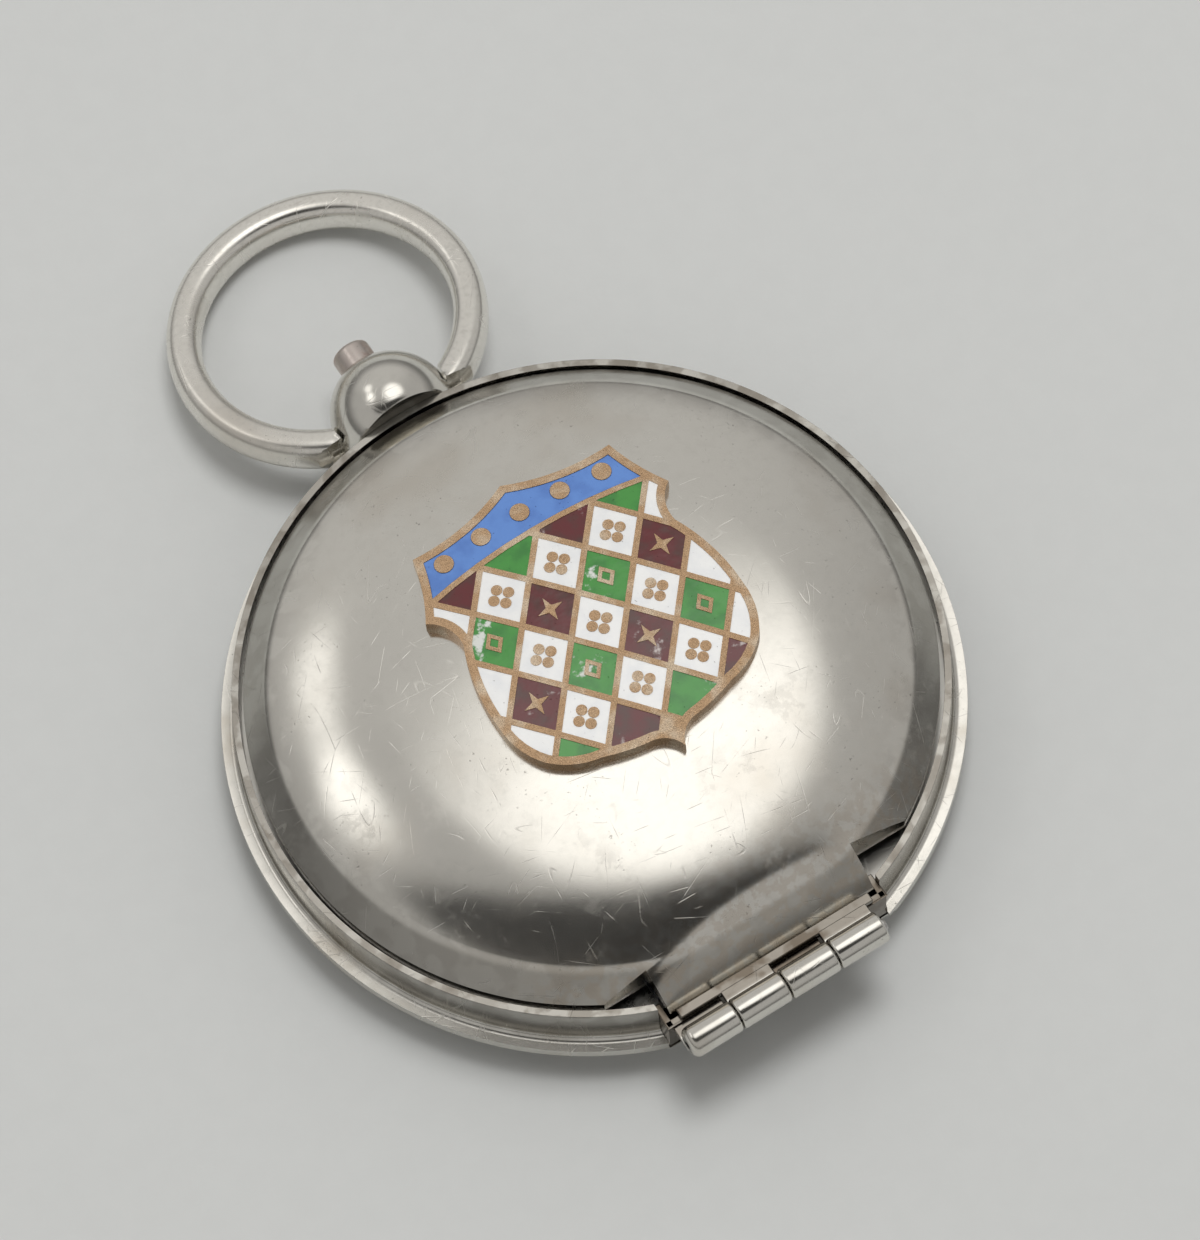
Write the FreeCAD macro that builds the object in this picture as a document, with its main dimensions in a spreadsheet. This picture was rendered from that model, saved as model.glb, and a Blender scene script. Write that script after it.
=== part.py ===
import FreeCAD, Part
import math
import os
import re
import Sketcher

# Sovereign case: a pocket case of thin plated sheet for one gold coin, worn on a chain.
# The origin is the centre of the flat rest face under the back. +Z is up through the lid,
# the hinge lies towards -Y with its pin along X, and the pendant and bow point to +Y.

Vector = FreeCAD.Vector
Rotation = FreeCAD.Rotation
Placement = FreeCAD.Placement

doc = FreeCAD.newDocument("sovereign_case")
sheet = doc.addObject("Spreadsheet::Sheet", "Sizes")

# Driving dimensions, millimetres and degrees
driving_sizes = {
    # round body
    "seam_height": 1.8,         # rest face to the seam between back and band
    "flange_wall": 0.24,        # each of the two flanges that make the bead
    "bead_radius": 15.75,
    "bead_proud": 0.65,         # the bead stands out of the band
    "sheet_wall": 0.3,
    "rim_height": 2.5,          # seam to the band's top rim
    "rest_radius": 8.0,         # flat part of the back
    "back_overlap": 0.25,       # the curved back ends this far outside the band's inner face
    "back_inner_inset": 0.3,
    # opening in the band for the hinge
    "hinge_shift": -0.3,        # the hinge sits a little to one side
    "gap_half": 5.35,
    "hinge_box_depth": 1.15,    # how far the hinge box reaches in from its outer wall
    "hinge_box_gap": 0.15,      # between the lid's flap and the hinge box's outer face
    # lid
    "lid_gap": 0.2,
    "lid_wall": 0.3,
    "skirt_depth": 0.55,
    "cone_lift": 0.05,          # straight part of the lid's edge above the rim
    "shoulder_inset": 1.1,      # shoulder, in from the lid's edge
    "shoulder_rise": 1.15,
    "dome_rise": 3.1,
    "dome_radius": 75.0,        # middle of the dome
    "dome_reach": 8.5,          # where the dome starts to roll over to the shoulder
    "flap_half": 5.0,
    "flap_inset": 0.75,         # foot of the flap's sloping wall, in from the band
    "flap_lean": 1.4,
    "flap_root": 2.0,
    "notch_inset": 2.0,         # the lid is cut off straight here beside the flap
    # hinge
    "hinge_arm": 1.15,          # pin axis out from the hinge box
    "hinge_drop": 0.2,          # pin axis below the rim
    "knuckle_radius": 0.7,
    "knuckle_length": 2.33,
    "knuckle_gap": 0.06,
    "knuckle_count": 4,
    "knuckle_shift": -0.7,
    "pin_radius": 0.3,
    "pin_clearance": 0.03,
    "pin_nub": 0.2,
    "leaf_wall": 0.25,
    "leaf_seat": 0.05,          # the lid's leaf above the hinge box
    "leaf_depth": 2.35,         # how far the lid's leaf reaches in from the hinge box's face
    # inner plate, coin well and retainer
    "plate_drop": 1.35,
    "plate_wall": 0.3,
    "well_depth": 1.7,
    "coin_radius": 11.025,
    "coin_thickness": 1.52,
    "coin_clearance": 0.2,
    "coin_lift": 0.43,          # a held coin's underside above the plate
    "lip_width": 1.6,
    "lip_wall": 0.28,
    "retainer_sweep": 210,
    # platform and its spring
    "platform_wall": 0.3,
    "platform_clearance": 0.2,
    "platform_gap": 0.05,
    "platform_skirt": 2.35,
    "coil_foot_radius": 6.5,
    "coil_head_radius": 3.2,
    "coil_wire": 0.25,
    "coil_turns": 3.5,
    "coil_gap": 0.03,
    # pendant, button and bow
    "pendant_offset": 0.25,     # ball's centre out from the bead
    "pendant_height": 2.8,
    "ball_radius": 2.7,
    "button_radius": 0.87,
    "button_proud": 0.95,
    "button_round": 0.2,
    "button_travel": 0.5,
    "button_clearance": 0.05,
    "stem_radius": 0.35,
    "button_bore_depth": 1.9,
    "button_spare": 0.05,       # room left behind a pressed button
    "washer_radius": 0.6,
    "washer_wall": 0.2,
    "washer_gap": 0.1,
    "bow_radius": 6.3,
    "bow_offset": 5.55,
    "bow_width": 1.5,
    "bow_thickness": 1.75,
    "bow_round": 0.45,
    "bow_gap": 0.12,
    "bow_heel": 0.35,
    "bow_tilt": 9.0,
    "bow_pin_radius": 0.45,
    "bow_pin_inner": 1.75,
    "bow_pin_spare": 0.15,
    "bow_pin_root": 0.4,        # length of each pin inside the ring
    # catch: spring strip in the case, lug in the lid
    "spring_wall": 0.3,
    "lock_inset": 1.3,          # middle of the strip, in from the band's inner face
    "lock_strip_height": 0.8,
    "lock_plate_gap": 0.15,
    "lock_foot_angle": 145,
    "lock_tip_angle": 83,
    "lock_rivet_inset": 0.5,    # rivet, in from the middle of the strip
    "lock_foot_radius": 0.8,
    "tongue_half": 1.0,
    "nose_reach": 0.35,
    "nose_wall": 0.25,
    "nose_drop": 0.25,          # nose top below the rim
    "stem_tip_gap": 0.03,
    "lug_half": 1.4,
    "lug_wall": 0.25,
    "ledge_reach": 0.52,        # ledge's inner edge, in from the lid's skirt
    "ledge_gap": 0.1,
    "lug_height": 0.75,
    "slot_half": 1.9,
    "slot_inset": 0.8,
    "rivet_radius": 0.3,
    "rivet_head_radius": 0.55,
    "rivet_head": 0.15,
    "rivet_clearance": 0.06,
    "rivet_gap": 0.08,
    # lift spring, a blade across the hinge side
    "lift_wall": 0.2,
    "lift_width": 0.9,
    "lift_inset": 2.05,         # middle of the blade, in from the band's inner face
    "lift_root": -4.6,
    "lift_foot_half": 0.6,
    "lift_length": 7.8,
    "lift_pad": 0.9,
    "lift_standoff": 0.1,
    "lift_gap": 0.03,
    "lift_rivet_inset": 0.1,    # its heads are this much smaller
    "lift_collar_gap": 0.04,
    # badge
    "badge_shift_x": 1.0,
    "badge_shift_y": 1.15,
    "badge_height": 0.65,
    "badge_border": 0.36,
    "wire_wall": 0.26,
    "enamel_depth": 0.28,
    "enamel_sink": 0.03,
    "lozenge_width": 2.75,
    "lozenge_height": 3.3,
    "chief_height": 4.0,
    "chief_rise": 0.6,
    "roundel_radius": 0.42,
    "roundel_pitch": 1.95,
    "petal_radius": 0.24,
    "petal_reach": 0.36,
    "star_waist": 0.8,
    "lozenge_sliver": 0.12,     # smaller shares of a cell are left as metal
    "lozenge_whole": 0.8,       # larger shares carry a motif
    "roundel_lift": 1.05,
    "lozenge_shift": -0.6,
    "badge_half_width": 6.0,
    "badge_half_height": 7.2,
}

for row, (alias, amount) in enumerate(driving_sizes.items(), start=1):
    sheet.set(f"A{row}", alias)
    sheet.set(f"B{row}", str(amount))
    sheet.setAlias(f"B{row}", alias)
doc.recompute()


def bound(formula):
    """Turn a formula in plain size names into an expression on the sheet."""
    return re.sub(r"\b[a-z_]+\b", lambda word: "Sizes." + word[0] if word[0] in driving_sizes else word[0],
                  str(formula))


def value(formula):
    """The present number of a formula in plain size names."""
    return float(sheet.evalExpression(bound(formula)))


# Heights and radii that several pieces share
rim_top = "(seam_height + rim_height)"
bead_top = "(seam_height + flange_wall)"
band_radius = "(bead_radius - bead_proud)"
band_inner = f"({band_radius} - sheet_wall)"
gap_left = "(hinge_shift - gap_half)"
hinge_height = f"({rim_top} - hinge_drop)"
flap_reach = f"({band_radius} - flap_inset)"
box_face = f"({flap_reach} + leaf_wall + hinge_box_gap)"
hinge_reach = f"({box_face} + hinge_arm)"
box_top = f"({hinge_height} - leaf_wall - leaf_seat)"
plate_top = f"({rim_top} - plate_drop)"
plate_under = f"({plate_top} - plate_wall)"
well_radius = "(coin_radius + coin_clearance)"
lip_under = f"({plate_top} + coin_thickness + coin_lift)"
platform_top = f"({lip_under} - platform_gap)"
lid_edge = f"({band_inner} - lid_gap)"
lid_foot = f"({rim_top} - skirt_depth)"
lid_top = f"({rim_top} + dome_rise)"
shoulder_height = f"({rim_top} + shoulder_rise)"
shoulder_radius = f"({lid_edge} - shoulder_inset)"
notch_reach = f"({lid_edge} - notch_inset)"
dome_centre = f"({lid_top} - dome_radius)"
skirt_inner = f"({lid_edge} - lid_wall)"
pendant_reach = "(bead_radius + pendant_offset)"
lock_radius = f"({band_inner} - lock_inset)"
lock_rivet_reach = f"({lock_radius} - lock_rivet_inset)"
slot_reach = f"({lock_radius} - slot_inset)"
lift_reach = f"({band_inner} - lift_inset)"
nose_top = f"({rim_top} - nose_drop)"
ledge_top = f"({nose_top} - nose_wall - ledge_gap)"


def finished(thing):
    doc.recompute()
    return thing


def outline(body, role, corners, arcs=None, lift="0"):
    """A closed sketch whose corners are formulas; arcs maps a corner's number to the radius of the
    arc that leaves it and the side it bulges to, +1 left of the way round and -1 right."""
    arcs = arcs or {}
    sketch = body.newObject("Sketcher::SketchObject", body.Label + "_outline")
    plane = [feature for feature in body.Origin.OriginFeatures if feature.Role == role][0]
    sketch.AttachmentSupport = [(plane, "")]
    sketch.MapMode = "FlatFace"
    sketch.setExpression("AttachmentOffset.Base.z", bound(lift))
    points = [Vector(value(across), value(along), 0) for across, along in corners]
    ends = []
    for number, start in enumerate(points):
        finish = points[(number + 1) % len(points)]
        if number not in arcs:
            edge = sketch.addGeometry(Part.LineSegment(start, finish), False)
            ends.append((edge, 1, 2))
            continue
        radius, side = value(arcs[number][0]), arcs[number][1]
        chord = finish - start
        sag = radius - math.sqrt(radius ** 2 - (chord.Length / 2) ** 2)
        left = Vector(-chord.y, chord.x, 0).normalize()
        middle = (start + finish) * 0.5 + left * side * sag
        edge = sketch.addGeometry(Part.Arc(start, middle, finish), False)
        forward = sketch.getPoint(edge, 1).distanceToPoint(start) < chord.Length / 2
        ends.append((edge, 1, 2) if forward else (edge, 2, 1))
    for number, (edge, first, last) in enumerate(ends):
        following, next_first, _ = ends[(number + 1) % len(ends)]
        sketch.addConstraint(Sketcher.Constraint("Coincident", edge, last, following, next_first))
        across, along = corners[number]
        for kind, formula in (("DistanceX", across), ("DistanceY", along)):
            limit = sketch.addConstraint(Sketcher.Constraint(kind, -1, 1, edge, first, value(formula)))
            sketch.setExpression(f"Constraints[{limit}]", bound(formula))
        if number in arcs:
            limit = sketch.addConstraint(Sketcher.Constraint("Radius", edge, value(arcs[number][0])))
            sketch.setExpression(f"Constraints[{limit}]", bound(arcs[number][0]))
    doc.recompute()
    return sketch


def turned(label, corners, arcs=None):
    """A body turned about Z from a profile of radii and heights."""
    body = doc.addObject("PartDesign::Body", label)
    profile = outline(body, "XZ_Plane", corners, arcs)
    turn = body.newObject("PartDesign::Revolution", label + "_turn")
    turn.Profile = profile
    turn.ReferenceAxis = (profile, ["V_Axis"])
    turn.Angle = 360
    return finished(body)


def raised(label, role, corners, depth, arcs=None, lift="0"):
    """A body padded from an outline along its plane's normal."""
    body = doc.addObject("PartDesign::Body", label)
    profile = outline(body, role, corners, arcs, lift)
    pad = body.newObject("PartDesign::Pad", label + "_pad")
    pad.Profile = profile
    pad.setExpression("Length", bound(depth))
    return finished(body)


def place(thing, x="0", y="0", z="0"):
    for axis, formula in (("x", x), ("y", y), ("z", z)):
        thing.setExpression(f"Placement.Base.{axis}", bound(formula))
    return finished(thing)


def rod(label, radius, length, x="0", y="0", z="0", along="z"):
    """A cylinder that starts at the given place and runs along one axis."""
    cylinder = doc.addObject("Part::Cylinder", label)
    cylinder.setExpression("Radius", bound(radius))
    cylinder.setExpression("Height", bound(length))
    turns = {"x": Rotation(Vector(0, 1, 0), 90), "y": Rotation(Vector(1, 0, 0), -90), "z": Rotation()}
    cylinder.Placement = Placement(Vector(), turns[along])
    return place(cylinder, x, y, z)


def block(label, size, x="0", y="0", z="0"):
    """A box by its lowest corner and its size."""
    box = doc.addObject("Part::Box", label)
    for side, formula in zip(("Length", "Width", "Height"), size):
        box.setExpression(side, bound(formula))
    return place(box, x, y, z)


def ball(label, radius, x="0", y="0", z="0"):
    """A sphere turned so that its seam lies on neither axis, clear of any bore."""
    sphere = doc.addObject("Part::Sphere", label)
    sphere.Placement = Placement(Vector(), Rotation(Vector(0, 0, 1), 45))
    sphere.setExpression("Radius", bound(radius))
    return place(sphere, x, y, z)


def cut(label, base, *tools):
    """The base with every tool taken away, one after another."""
    result = base
    for number, tool in enumerate(tools, start=1):
        step = doc.addObject("Part::Cut", label if number == len(tools) else f"{label}_cut_{number}")
        step.Base, step.Tool = result, tool
        result = step
    return finished(result)


def fuse(label, *pieces):
    result = doc.addObject("Part::MultiFuse", label)
    result.Shapes = list(pieces)
    result.Refine = True
    return finished(result)


def shared(label, first, second):
    result = doc.addObject("Part::Common", label)
    result.Base, result.Tool = first, second
    return finished(result)


def shaped(label, shape):
    """A feature whose shape is worked out here from the sheet's values."""
    feature = doc.addObject("Part::Feature", label)
    feature.Shape = shape
    return finished(feature)


def rounded_edges(label, source, radius, wanted):
    """The source with a round of one radius on each edge that wanted picks by its middle."""
    rounding = doc.addObject("Part::Fillet", label)
    rounding.Base = source
    picked = []
    for number, edge in enumerate(source.Shape.Edges, start=1):
        middle = edge.valueAt((edge.FirstParameter + edge.LastParameter) / 2)
        if wanted(edge, middle):
            picked.append((number, value(radius), value(radius)))
    rounding.Edges = picked
    return finished(rounding)


parts = []


def keep(piece):
    parts.append(piece)
    return piece


# Round body

def back_shell():
    back_rise = "(seam_height - flange_wall)"
    run = f"({band_inner} + back_overlap - rest_radius)"
    curve = f"(({run} ^ 2 + {back_rise} ^ 2) / (2 * {back_rise}))"
    inner_run = f"({run} - back_inner_inset)"
    inner_rise = "(seam_height - sheet_wall)"
    inner_curve = f"(({inner_run} ^ 2 + {inner_rise} ^ 2) / (2 * {inner_rise}))"
    dish = turned("back_dish", [
        ("0", "0"), ("rest_radius", "0"), (f"rest_radius + {run}", back_rise), ("bead_radius", back_rise),
        ("bead_radius", "seam_height"), (f"rest_radius + {inner_run}", "seam_height"),
        ("rest_radius", "sheet_wall"), ("0", "sheet_wall"),
    ], {1: (curve, -1), 5: (inner_curve, 1)})
    bite = block("back_bite", ("2 * gap_half", "bead_radius", "seam_height * 2"),
                 gap_left, f"-{box_face} - bead_radius", "0")
    return keep(cut("back_shell", dish, bite))


def case_band():
    wall = turned("band_wall", [
        (band_inner, "seam_height"), ("bead_radius", "seam_height"), ("bead_radius", bead_top),
        (band_radius, bead_top), (band_radius, rim_top), (band_inner, rim_top),
    ])
    gap = block("band_gap", ("2 * gap_half", band_radius, "rim_height * 2"),
                gap_left, f"-{band_radius} - hinge_box_depth", "seam_height - flange_wall")
    stem_hole = rod("band_stem_hole", "stem_radius + button_clearance", "sheet_wall * 4",
                    "0", f"{band_inner} - sheet_wall", "pendant_height", "y")
    return keep(cut("case_band", wall, gap, stem_hole))


# Hinge

def knuckle_start(number):
    row_length = "(knuckle_count * knuckle_length + (knuckle_count - 1) * knuckle_gap)"
    return f"(knuckle_shift - {row_length} / 2 + {number} * (knuckle_length + knuckle_gap))"


def hinge_bore(label):
    return rod(label, "pin_radius + pin_clearance", "bead_radius * 2", "-bead_radius", f"-{hinge_reach}",
               hinge_height, "x")


def base_hinge_leaf():
    width = "(2 * gap_half)"
    height = f"({box_top} - seam_height)"
    outer = block("hinge_box_outer", (width, "hinge_box_depth", height), gap_left, f"-{box_face}",
                  "seam_height")
    inner = block("hinge_box_inner", (f"{width} - 2 * sheet_wall", "hinge_box_depth", f"{height} * 2"),
                  f"{gap_left} + sheet_wall", f"-{box_face} + sheet_wall", "seam_height - 0.1")
    pieces = [cut("hinge_box", outer, inner)]
    for number in range(0, int(value("knuckle_count")), 2):
        start = knuckle_start(number)
        pieces.append(rod(f"base_knuckle_{number + 1}", "knuckle_radius", "knuckle_length", start,
                          f"-{hinge_reach}", hinge_height, "x"))
        arm_depth = f"({hinge_reach} - {box_face} + sheet_wall)"
        pieces.append(block(f"base_arm_{number + 1}", ("knuckle_length", arm_depth, "leaf_wall"), start,
                            f"-{hinge_reach}", f"{hinge_height} - knuckle_radius"))
    return keep(cut("base_hinge_leaf", fuse("base_leaf_solid", *pieces), hinge_bore("base_bore")))


def lid_hinge_leaf():
    plate = block("lid_leaf_plate", ("2 * (flap_half - lid_wall)", "leaf_depth", "leaf_wall"),
                  "hinge_shift - flap_half + lid_wall", f"-{box_face}", f"{hinge_height} - leaf_wall")
    pieces = [plate]
    for number in range(1, int(value("knuckle_count")), 2):
        start = knuckle_start(number)
        pieces.append(rod(f"lid_knuckle_{number + 1}", "knuckle_radius", "knuckle_length", start,
                          f"-{hinge_reach}", hinge_height, "x"))
        pieces.append(block(f"lid_arm_{number + 1}",
                            ("knuckle_length", f"{hinge_reach} - {box_face} + leaf_wall", "leaf_wall"), start,
                            f"-{hinge_reach}", f"{hinge_height} - leaf_wall"))
    return keep(cut("lid_hinge_leaf", fuse("lid_leaf_solid", *pieces), hinge_bore("lid_bore")))


def hinge_pin():
    row_length = "(knuckle_count * knuckle_length + (knuckle_count - 1) * knuckle_gap)"
    return keep(rod("hinge_pin", "pin_radius", f"{row_length} + pin_nub", knuckle_start(0), f"-{hinge_reach}",
                    hinge_height, "x"))


# Lid

def dome_roof(label, inset):
    """Everything under the domed top: a wide crown that rolls over to the shoulder, and runs on
    outwards at the same slope."""
    lean = "(dome_reach / dome_radius)"
    upright = f"sqrt(1 - {lean} ^ 2)"
    start_height = f"({lid_top} - dome_radius + dome_radius * {upright})"
    run, drop = f"({shoulder_radius} - dome_reach)", f"({start_height} - {shoulder_height})"
    roll = f"(({run} ^ 2 + {drop} ^ 2) / (2 * ({drop} * {upright} - {run} * {lean})))"
    middle, height = f"(dome_reach - {roll} * {lean})", f"({start_height} - {roll} * {upright})"
    share = f"(({roll} - {inset}) / {roll})"
    roll_end = (f"{middle} + ({shoulder_radius} - {middle}) * {share}",
                f"{height} + ({shoulder_height} - {height}) * {share}")
    slope = f"(({shoulder_radius} - {middle}) / ({shoulder_height} - {height}))"
    low = "(-rim_height)"
    return turned(label, [
        ("0", low), (f"{roll_end[0]} + dome_rise", low),
        (f"{roll_end[0]} + dome_rise", f"{roll_end[1]} - dome_rise * {slope}"), roll_end,
        (f"dome_reach - {inset} * {lean}", f"{start_height} - {inset} * {upright}"),
        ("0", f"{lid_top} - {inset}"),
    ], {3: (f"({roll} - {inset})", -1), 4: (f"(dome_radius - {inset})", -1)})


def lid_form(label, inset, foot_drop):
    """The lid as a solid: domed disc cut straight at the notches, with the flap added. A larger
    inset gives the hollow that is taken out of it."""
    edge = f"({lid_edge} - {inset})"
    foot = f"({lid_foot} - {foot_drop})"
    cone_foot = f"({rim_top} + cone_lift - 0.4 * {inset})"
    cone_lean = "(shoulder_inset / (shoulder_rise - cone_lift))"
    ceiling = f"({lid_top} + lid_wall)"
    blank = turned(label + "_blank", [
        ("0", foot), (edge, foot), (edge, cone_foot),
        (f"{edge} - ({ceiling} - {cone_foot}) * {cone_lean}", ceiling), ("0", ceiling),
    ])
    notch = block(label + "_notch", (f"4 * {band_radius}", band_radius, "4 * dome_rise"),
                  f"-2 * {band_radius}", f"-{notch_reach} + {inset} - {band_radius}", f"{foot} - 1")
    disc = cut(label + "_disc", blank, notch)
    run = "flap_lean"
    rise = f"({shoulder_height} - {hinge_height})"
    slope_inset = f"({inset} * sqrt({run} ^ 2 + {rise} ^ 2) / {rise})"
    flap_foot = f"({hinge_height} - {foot_drop})"
    foot_reach = f"({flap_reach} + {foot_drop} * {run} / {rise} - {slope_inset})"
    top_reach = f"({flap_reach} - ({ceiling} - {hinge_height}) * {run} / {rise} - {slope_inset})"
    root = f"(flap_root - {notch_reach})"
    prism = raised(label + "_prism", "YZ_Plane", [
        (root, flap_foot), (root, ceiling), (f"-{top_reach}", ceiling), (f"-{foot_reach}", flap_foot),
    ], f"2 * (flap_half - {inset})", None, f"hinge_shift - flap_half + {inset}")
    return shared(label, fuse(label + "_walls", disc, prism), dome_roof(label + "_roof", inset))


def lid_shell():
    outside = lid_form("lid_outside", "0", "0")
    hollow = lid_form("lid_hollow", "lid_wall", "1")
    return keep(cut("lid_shell", outside, hollow))


def catch_lug():
    ledge_bottom = f"({ledge_top} - lug_wall)"
    upright = block("lug_upright", ("2 * lug_half", "2 * lug_wall", "lug_height"), "-lug_half",
                    f"{skirt_inner} - lug_wall", ledge_bottom)
    ledge = block("lug_ledge", ("2 * lug_half", "ledge_reach + lug_wall", "lug_wall"), "-lug_half",
                  f"{skirt_inner} - ledge_reach", ledge_bottom)
    seat = rod("lug_seat", skirt_inner, "rim_height * 2", "0", "0", "seam_height")
    return keep(shared("catch_lug", fuse("lug_solid", upright, ledge), seat))


# Coin well, retainer, platform and its spring

def inner_plate():
    plate = turned("plate_turned", [
        (well_radius, f"{plate_under} - well_depth"),
        (f"{well_radius} + plate_wall", f"{plate_under} - well_depth"),
        (f"{well_radius} + plate_wall", plate_under), (band_inner, plate_under), (band_inner, plate_top),
        (well_radius, plate_top),
    ])
    hinge_room = block("plate_hinge_room", ("2 * gap_half", band_radius, "rim_height * 2"), gap_left,
                       f"-{box_face} + hinge_box_depth - {band_radius}", "seam_height - 1")
    nose_slot = block("plate_nose_slot", ("2 * slot_half", band_radius, "plate_wall * 3"), "-slot_half",
                      slot_reach, f"{plate_under} - plate_wall")
    lock_hole = rod("plate_lock_hole", "rivet_radius", "plate_wall * 3", lock_rivet_x(), lock_rivet_y(),
                    f"{plate_under} - plate_wall")
    lift_hole = rod("plate_lift_hole", "rivet_radius", "plate_wall * 3", "lift_root", f"-{lift_reach}",
                    f"{plate_under} - plate_wall")
    return keep(cut("inner_plate", plate, hinge_room, nose_slot, lock_hole, lift_hole))


def wedge(label, first_angle, last_angle, reach, low, high):
    """A pie-shaped cutter of the given angles, its rim beyond the reach."""
    steps = max(2, int(abs(value(last_angle) - value(first_angle)) // 60) + 1)
    span = (value(last_angle) - value(first_angle)) / steps
    far = value(reach) / math.cos(math.radians(span / 2))
    rim = [Vector(far * math.cos(math.radians(value(first_angle) + span * step)),
                  far * math.sin(math.radians(value(first_angle) + span * step)), value(low))
           for step in range(steps + 1)]
    corners = [Vector(0, 0, value(low))] + rim
    face = Part.Face(Part.makePolygon(corners + corners[:1]))
    return shaped(label, face.extrude(Vector(0, 0, value(high) - value(low))))


def coin_retainer():
    outer = f"({well_radius} + lip_wall)"
    ring = turned("retainer_ring", [
        (well_radius, plate_top), (outer, plate_top), (outer, f"{lip_under} + lip_wall"),
        (f"{well_radius} - lip_width", f"{lip_under} + lip_wall"), (f"{well_radius} - lip_width", lip_under),
        (well_radius, lip_under),
    ])
    sector = wedge("retainer_sector", "270 - retainer_sweep / 2", "270 + retainer_sweep / 2",
                   band_radius, plate_top, f"{lip_under} + 1")
    return keep(shared("coin_retainer", ring, sector))


def coin_platform():
    outer = f"({well_radius} - platform_clearance)"
    inner = f"({outer} - platform_wall)"
    return keep(turned("coin_platform", [
        ("0", f"{platform_top} - platform_wall"), (inner, f"{platform_top} - platform_wall"),
        (inner, f"{platform_top} - platform_skirt"), (outer, f"{platform_top} - platform_skirt"),
        (outer, platform_top), ("0", platform_top),
    ]))


def platform_spring():
    low = value("sheet_wall + coil_gap + coil_wire")
    high = value(f"{platform_top} - platform_wall - coil_gap - coil_wire")
    turns = value("coil_turns")
    foot, head, wire = value("coil_foot_radius"), value("coil_head_radius"), value("coil_wire")
    pitch = (high - low) / turns
    lean = math.degrees(math.atan2(head - foot, high - low))
    helix = Part.makeLongHelix(pitch, high - low, foot, lean)
    helix.translate(Vector(0, 0, low))
    spine = Part.Wire(helix.Edges)
    first = spine.Edges[0]
    start, heading = first.valueAt(first.FirstParameter), first.tangentAt(first.FirstParameter)
    section = Part.Wire(Part.makeCircle(wire, start, heading))
    coil = spine.makePipeShell([section], True, True)
    print(f"platform spring: {turns} turns, least gap between turns {pitch - 2 * wire:.2f} mm or more")
    print(f"platform spring: volume {coil.Volume:.3f}, wire section times length",
          f"{math.pi * wire ** 2 * spine.Length:.3f}")
    return keep(shaped("platform_spring", coil))


# Pendant, button and bow

def pendant_ball():
    full = ball("pendant_full", "ball_radius", "0", pendant_reach, "pendant_height")
    band_seat = rod("pendant_band_seat", band_radius, "4 * ball_radius", "0", "0", bead_top)
    bead_seat = rod("pendant_bead_seat", "bead_radius", f"{bead_top} + ball_radius", "0", "0", "-ball_radius")
    pole = f"({pendant_reach} + ball_radius)"
    button_bore = rod("pendant_button_bore", "button_radius + button_clearance", "button_bore_depth * 2", "0",
                      f"{pole} - button_bore_depth", "pendant_height", "y")
    stem_bore = rod("pendant_stem_bore", "stem_radius + button_clearance", "4 * ball_radius", "0",
                    f"{pendant_reach} - 2 * ball_radius", "pendant_height", "y")
    left_bore = rod("pendant_left_bore", "bow_pin_radius + button_clearance", "2 * ball_radius",
                    "-bow_pin_inner + bow_pin_spare - 2 * ball_radius", pendant_reach, "pendant_height", "x")
    right_bore = rod("pendant_right_bore", "bow_pin_radius + button_clearance", "2 * ball_radius",
                     "bow_pin_inner - bow_pin_spare", pendant_reach, "pendant_height", "x")
    return keep(cut("pendant_ball", full, band_seat, bead_seat, button_bore, stem_bore, left_bore,
                    right_bore))


def button_back():
    return f"({pendant_reach} + ball_radius - button_bore_depth + button_travel + button_spare)"


def push_button():
    tip = f"({lock_radius} + spring_wall / 2 + stem_tip_gap)"
    cap_length = f"({pendant_reach} + ball_radius + button_proud - {button_back()})"
    cap = rod("button_cap", "button_radius", cap_length, "0", button_back(), "pendant_height", "y")
    stem = rod("button_stem", "stem_radius", f"{button_back()} - {tip} + button_round", "0", tip,
               "pendant_height", "y")
    outer_end = value(f"{pendant_reach} + ball_radius + button_proud")

    def at_end(edge, middle):
        return abs(edge.BoundBox.YMin - outer_end) < 1e-6 and edge.BoundBox.YLength < 1e-6

    rounded_cap = rounded_edges("button_rounded", cap, "button_round", at_end)
    return keep(fuse("push_button", rounded_cap, stem))


def button_washer():
    start = f"({band_inner} - washer_gap - washer_wall)"
    disc = rod("washer_disc", "washer_radius", "washer_wall", "0", start, "pendant_height", "y")
    hole = rod("washer_hole", "stem_radius", "washer_wall * 3", "0", f"{start} - washer_wall",
               "pendant_height", "y")
    return keep(cut("button_washer", disc, hole))


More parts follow.
